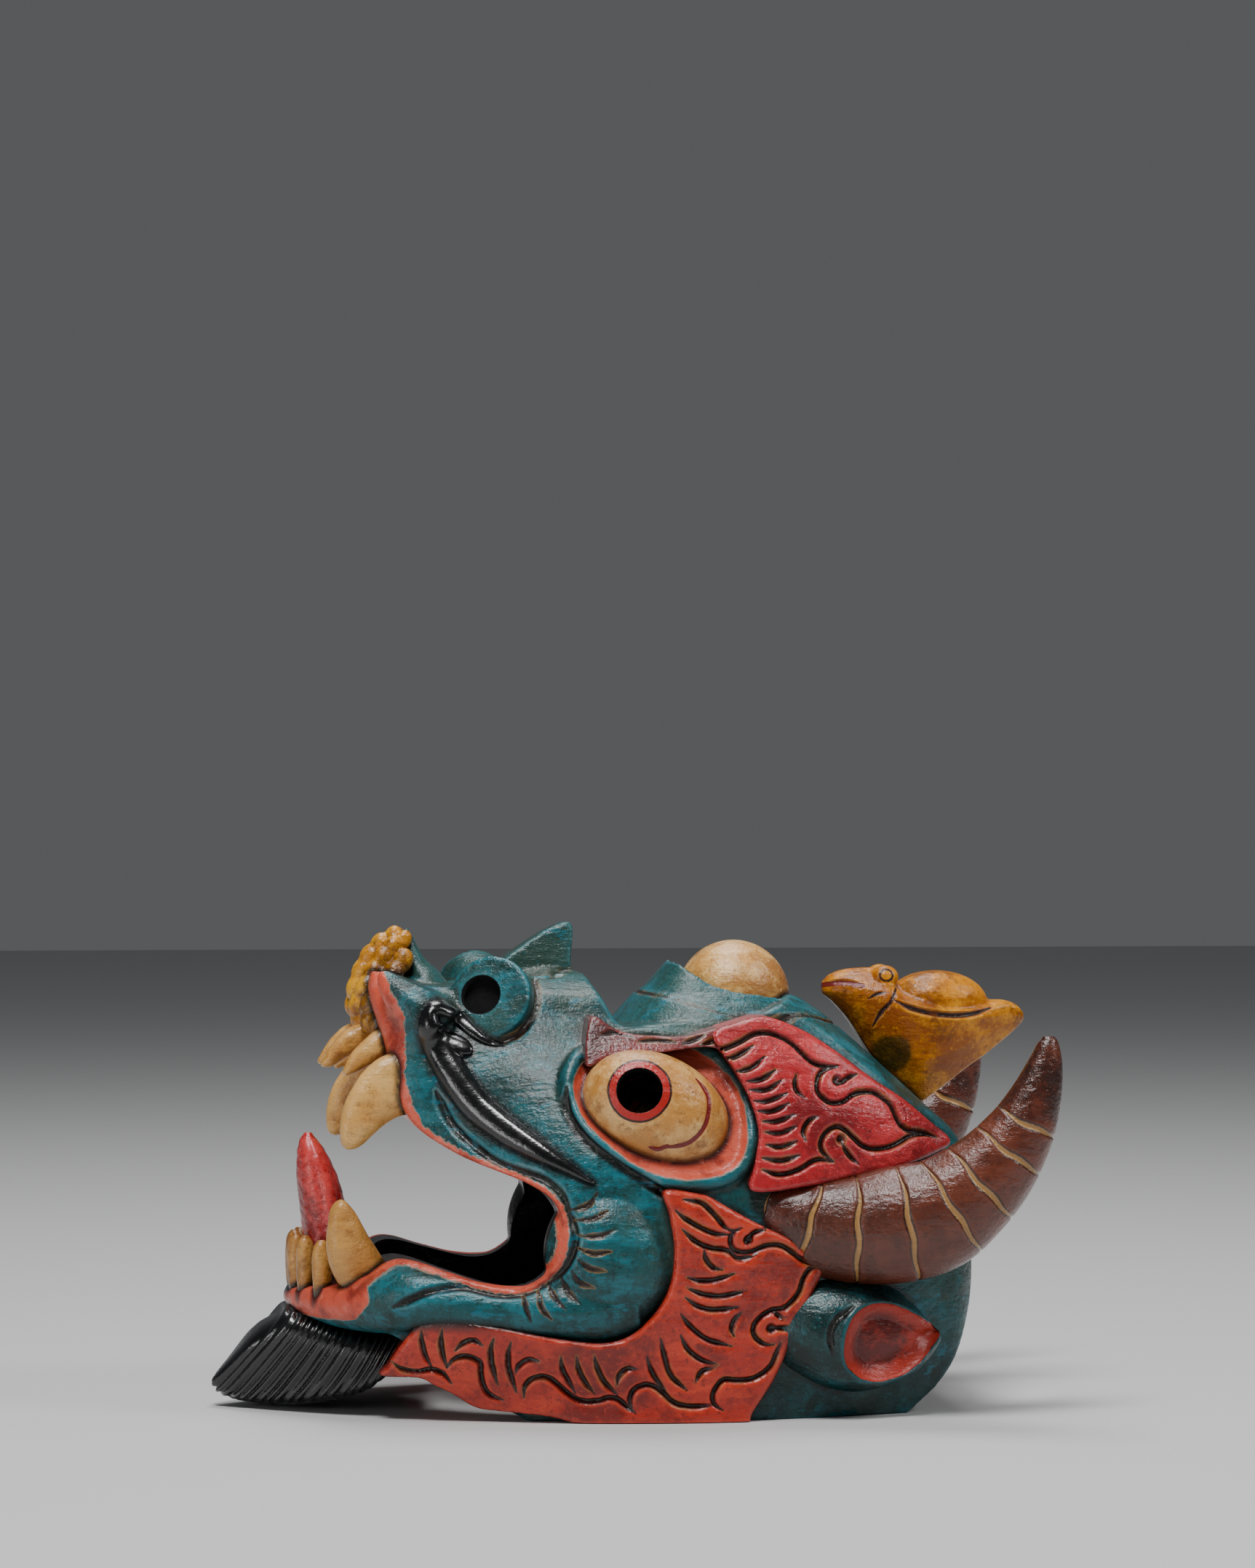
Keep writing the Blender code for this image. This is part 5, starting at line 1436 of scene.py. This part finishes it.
def ear_paint():
    """Teal, with a wet red cavity that has patchy painted shade deep inside."""
    paint = weathered("ear_paint", (0.002, 0.034, 0.034), (0.004, 0.105, 0.125), (0.002, 0.010, 0.008))
    ragged = paint.swing(paint.noise(170, 4, shift=2), 0.7)
    painted = paint.between(paint.math("ADD", paint.kept("red"), ragged), 0.1, 0.5)
    paint.over((0.40, 0.034, 0.020), painted)
    # Patchy painted shade deep in the red cavity
    deep = paint.between(paint.kept("red"), 2.2, 7)
    shaded = paint.both(deep, paint.between(paint.noise(60, 6, 0.7), 0.36, 0.56))
    paint.over((0.085, 0.010, 0.008), shaded, 0.9)
    return paint.finish(roughness=(0.16, 0.4), coat=0.6)


def frog_paint():
    """Golden ochre under brown glaze, with a green patch on the flank and a red mouth."""
    paint = weathered(
        "frog_paint", (0.56, 0.20, 0.002), (0.78, 0.34, 0.008), (0.25, 0.055, 0.002), edge=(0.5, 0.26, 0.04),
    )
    paint.over((0.14, 0.034, 0.002), paint.between(paint.noise(44, 8, 0.75, shift=2), 0.5, 0.6), 0.7)
    patch = paint.math("ADD", paint.kept("patch"), paint.swing(paint.noise(90, 5, 0.7), 3.5))
    paint.over((0.028, 0.030, 0.002), paint.between(patch, -1.2, 1.6), 0.8)
    paint.over((0.14, 0.012, 0.010), paint.between(paint.kept("red"), 0.2, 0.6))
    return paint.finish(roughness=(0.2, 0.4), coat=0.55, level=0.1)


def black_paint():
    """Gloss black lacquer, with painted highlights on its ridges."""
    paint = Paint("black_lacquer")
    paint.ground((0.0020, 0.0020, 0.0024))
    # Painted highlights on the ridges
    paint.over((0.02, 0.02, 0.02), paint.between(paint.kept("cavity"), -0.15, -0.7))
    return paint.finish(roughness=(0.16, 0.36), coat=0.8, grain=0.25, level=0.35)


def make_paints():
    """Every paint on the mask, by the kind of piece that it covers."""
    flame = weathered("crimson_paint", (0.38, 0.012, 0.016), (0.56, 0.036, 0.040), (0.14, 0.004, 0.006))
    fringe = weathered("orange_red_paint", (0.40, 0.019, 0.006), (0.60, 0.048, 0.015), (0.14, 0.006, 0.003))
    brow = weathered("maroon_paint", (0.13, 0.011, 0.011), (0.25, 0.035, 0.032), (0.035, 0.005, 0.004))
    horn = weathered(
        "horn_paint", (0.070, 0.013, 0.0060), (0.15, 0.036, 0.017), (0.016, 0.005, 0.003),
        cut=(0.36, 0.19, 0.06), edge=(0.02, 0.006, 0.004),
    )
    tooth = weathered("tooth_paint", (0.56, 0.26, 0.050), (0.74, 0.44, 0.14), (0.22, 0.070, 0.010))
    # The lower teeth take a darker copy of the tooth paint, as painted shade
    shaded_tooth = weathered("old_tooth_paint", (0.38, 0.15, 0.026), (0.56, 0.29, 0.075), (0.13, 0.040, 0.006))
    gum = weathered("gum_paint", (0.52, 0.20, 0.004), (0.74, 0.38, 0.014), (0.075, 0.016, 0.001))
    dome = weathered("dome_paint", (0.66, 0.34, 0.09), (0.86, 0.58, 0.24), (0.34, 0.12, 0.020))
    tongue = weathered("tongue_paint", (0.42, 0.012, 0.014), (0.66, 0.065, 0.058), (0.15, 0.004, 0.004))
    return {
        "head": head_paint(),
        "eye": eye_paint(),
        "ear": ear_paint(),
        "frog": frog_paint(),
        "black": black_paint(),
        "flame": flame.finish(coat=0.8),
        "fringe": fringe.finish(coat=0.8),
        "brow": brow.finish(coat=0.8),
        "horn": horn.finish(roughness=(0.2, 0.42), coat=0.8),
        "upper": tooth.finish(roughness=(0.26, 0.48)),
        "lower": shaded_tooth.finish(roughness=(0.26, 0.48)),
        "gum": gum.finish(roughness=(0.25, 0.45)),
        "dome": dome.finish(roughness=(0.25, 0.45), coat=0.8),
        "tongue": tongue.finish(roughness=(0.15, 0.35), coat=0.9),
    }


def thin_out(obj, triangles):
    """Fewer triangles, kept where the form bends."""
    now = sum(len(p.vertices) - 2 for p in obj.data.polygons)
    step = obj.modifiers.new("thin", "DECIMATE")
    step.ratio = min(1.0, triangles / now)
    return bake(obj)


def dress(obj, paint, slot, *nodes):
    """Gives a piece its paint and its place on the mask."""
    obj.data.materials.clear()
    obj.data.materials.append(paint)
    obj.data.shade_smooth()
    for name, plain in (("line", OFF_LINE), ("groove", OFF_LINE), ("cavity", 0.0), ("contact", 0.0)):
        if not obj.data.attributes.get(name):
            note(obj, name, np.full(len(obj.data.vertices), plain))
    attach(obj, "root")
    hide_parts(*nodes)


# The lights' places and what they face, in metres, with their sizes and powers
LIGHTS = (
    ((-0.3, -0.85, 1.85), (0, 0, 0.1), 0.55, 36),
    ((1.2, -0.6, 1.2), (0.05, 0, 0.1), 0.4, 9),
    ((0.05, 0.6, 1.9), (0, 0, 0.1), 0.8, 22),
    ((-1.5, -1.1, 0.35), (-0.03, 0, 0.05), 0.5, 5),
)


def make_stage():
    """A pale floor, a dim grey world and soft lights."""
    bm = bmesh.new()
    bmesh.ops.create_grid(bm, x_segments=1, y_segments=1, size=6.0)
    floor = placed("floor", bm)
    floor.location.z = -FLOOR_GAP
    material = bpy.data.materials.new("floor_paint")
    material.use_nodes = True
    shader = material.node_tree.nodes["Principled BSDF"]
    shader.inputs["Base Color"].default_value = (0.55, 0.55, 0.55, 1)
    shader.inputs["Roughness"].default_value = 0.7
    floor.data.materials.append(material)
    world = bpy.data.worlds.new("studio")
    world.use_nodes = True
    world.node_tree.nodes["Background"].inputs["Color"].default_value = (0.78, 0.80, 0.83, 1)
    world.node_tree.nodes["Background"].inputs["Strength"].default_value = 0.13
    bpy.context.scene.world = world
    for place, aim, size, power in LIGHTS:
        data = bpy.data.lights.new("softbox", "AREA")
        data.size = size
        data.energy = power
        lamp = bpy.data.objects.new("softbox", data)
        lamp.location = place
        lamp.rotation_euler = (Vector(aim) - Vector(place)).to_track_quat("-Z", "Y").to_euler()
        bpy.context.scene.collection.objects.link(lamp)


def make_camera():
    """The camera stands level and is turned a little towards the chin."""
    data = bpy.data.cameras.new("camera")
    camera = bpy.data.objects.new("camera", data)
    toward = Vector((math.sin(CAMERA_TURN), math.cos(CAMERA_TURN), 0))
    camera.location = Vector((-MIDDLE_X * MM, 0, CAMERA_HEIGHT)) - toward * CAMERA_AWAY
    camera.rotation_euler = toward.to_track_quat("-Z", "Y").to_euler()
    data.lens = CAMERA_LENS
    data.sensor_width = 36
    bpy.context.scene.collection.objects.link(camera)
    bpy.context.scene.camera = camera


def main():
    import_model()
    paints = make_paints()
    head = carve_head(make_head())
    roughen(head, 26, 0.35, seed=1)
    thin_out(head, TRIANGLES["head"])
    mark_head(head)
    left = {
        "flame": make_flame(),
        "brow": make_brow(),
        "fringe": make_fringe(),
        "moustache": make_moustache(head),
        "eye": make_eye(),
        "ear": make_ear(),
    }
    gum, dome, beard = make_gum(), make_dome(), make_beard()
    horn, tongue, frog = make_horn(), make_tongue(), make_frog()
    for kind, piece in {**left, "beard": beard, "gum": gum, "frog": frog}.items():
        if kind in TRIANGLES:
            thin_out(piece, TRIANGLES[kind])
    teeth = make_teeth()
    raised = [*left.values(), gum, dome, beard]
    for piece in [head, *raised, horn, tongue, frog, *teeth.values()]:
        note_cavity(piece)
    for piece in [*raised, horn, frog, *teeth.values(), tongue]:
        note_contact(piece, [head])
    right = [mirrored(piece) for piece in left.values()]
    horn_right = mirrored(horn)
    right_teeth = {name: mirrored(tooth) for name, tooth in teeth.items()}
    all_teeth = [*teeth.values(), *right_teeth.values()]
    note_contact(head, [*raised, *right, horn, horn_right, frog, *all_teeth])
    dress(head, paints["head"], "carved_head", "mask")
    kinds = ["flame", "brow", "fringe", "black", "eye", "ear"]
    for kind, piece, twin in zip(kinds, left.values(), right):
        dress(piece, paints[kind], "carved_head", "mask")
        dress(twin, paints[kind], "carved_head", "mask")
    dress(gum, paints["gum"], "carved_head", "mask")
    dress(dome, paints["dome"], "carved_head", "mask")
    dress(beard, paints["black"], "carved_head", "mask")
    dress(horn, paints["horn"], "horns", "horn_left")
    dress(horn_right, paints["horn"], "horns", "horn_right")
    dress(tongue, paints["tongue"], "tongue", "tongue")
    dress(frog, paints["frog"], "frog", "frog")
    for name, tooth in teeth.items():
        paint = paints[name.split("_")[0]]
        dress(tooth, paint, "teeth", name)
        dress(right_teeth[name], paint, "teeth", name.replace("_left", "_right"))
    make_stage()
    make_camera()


main()
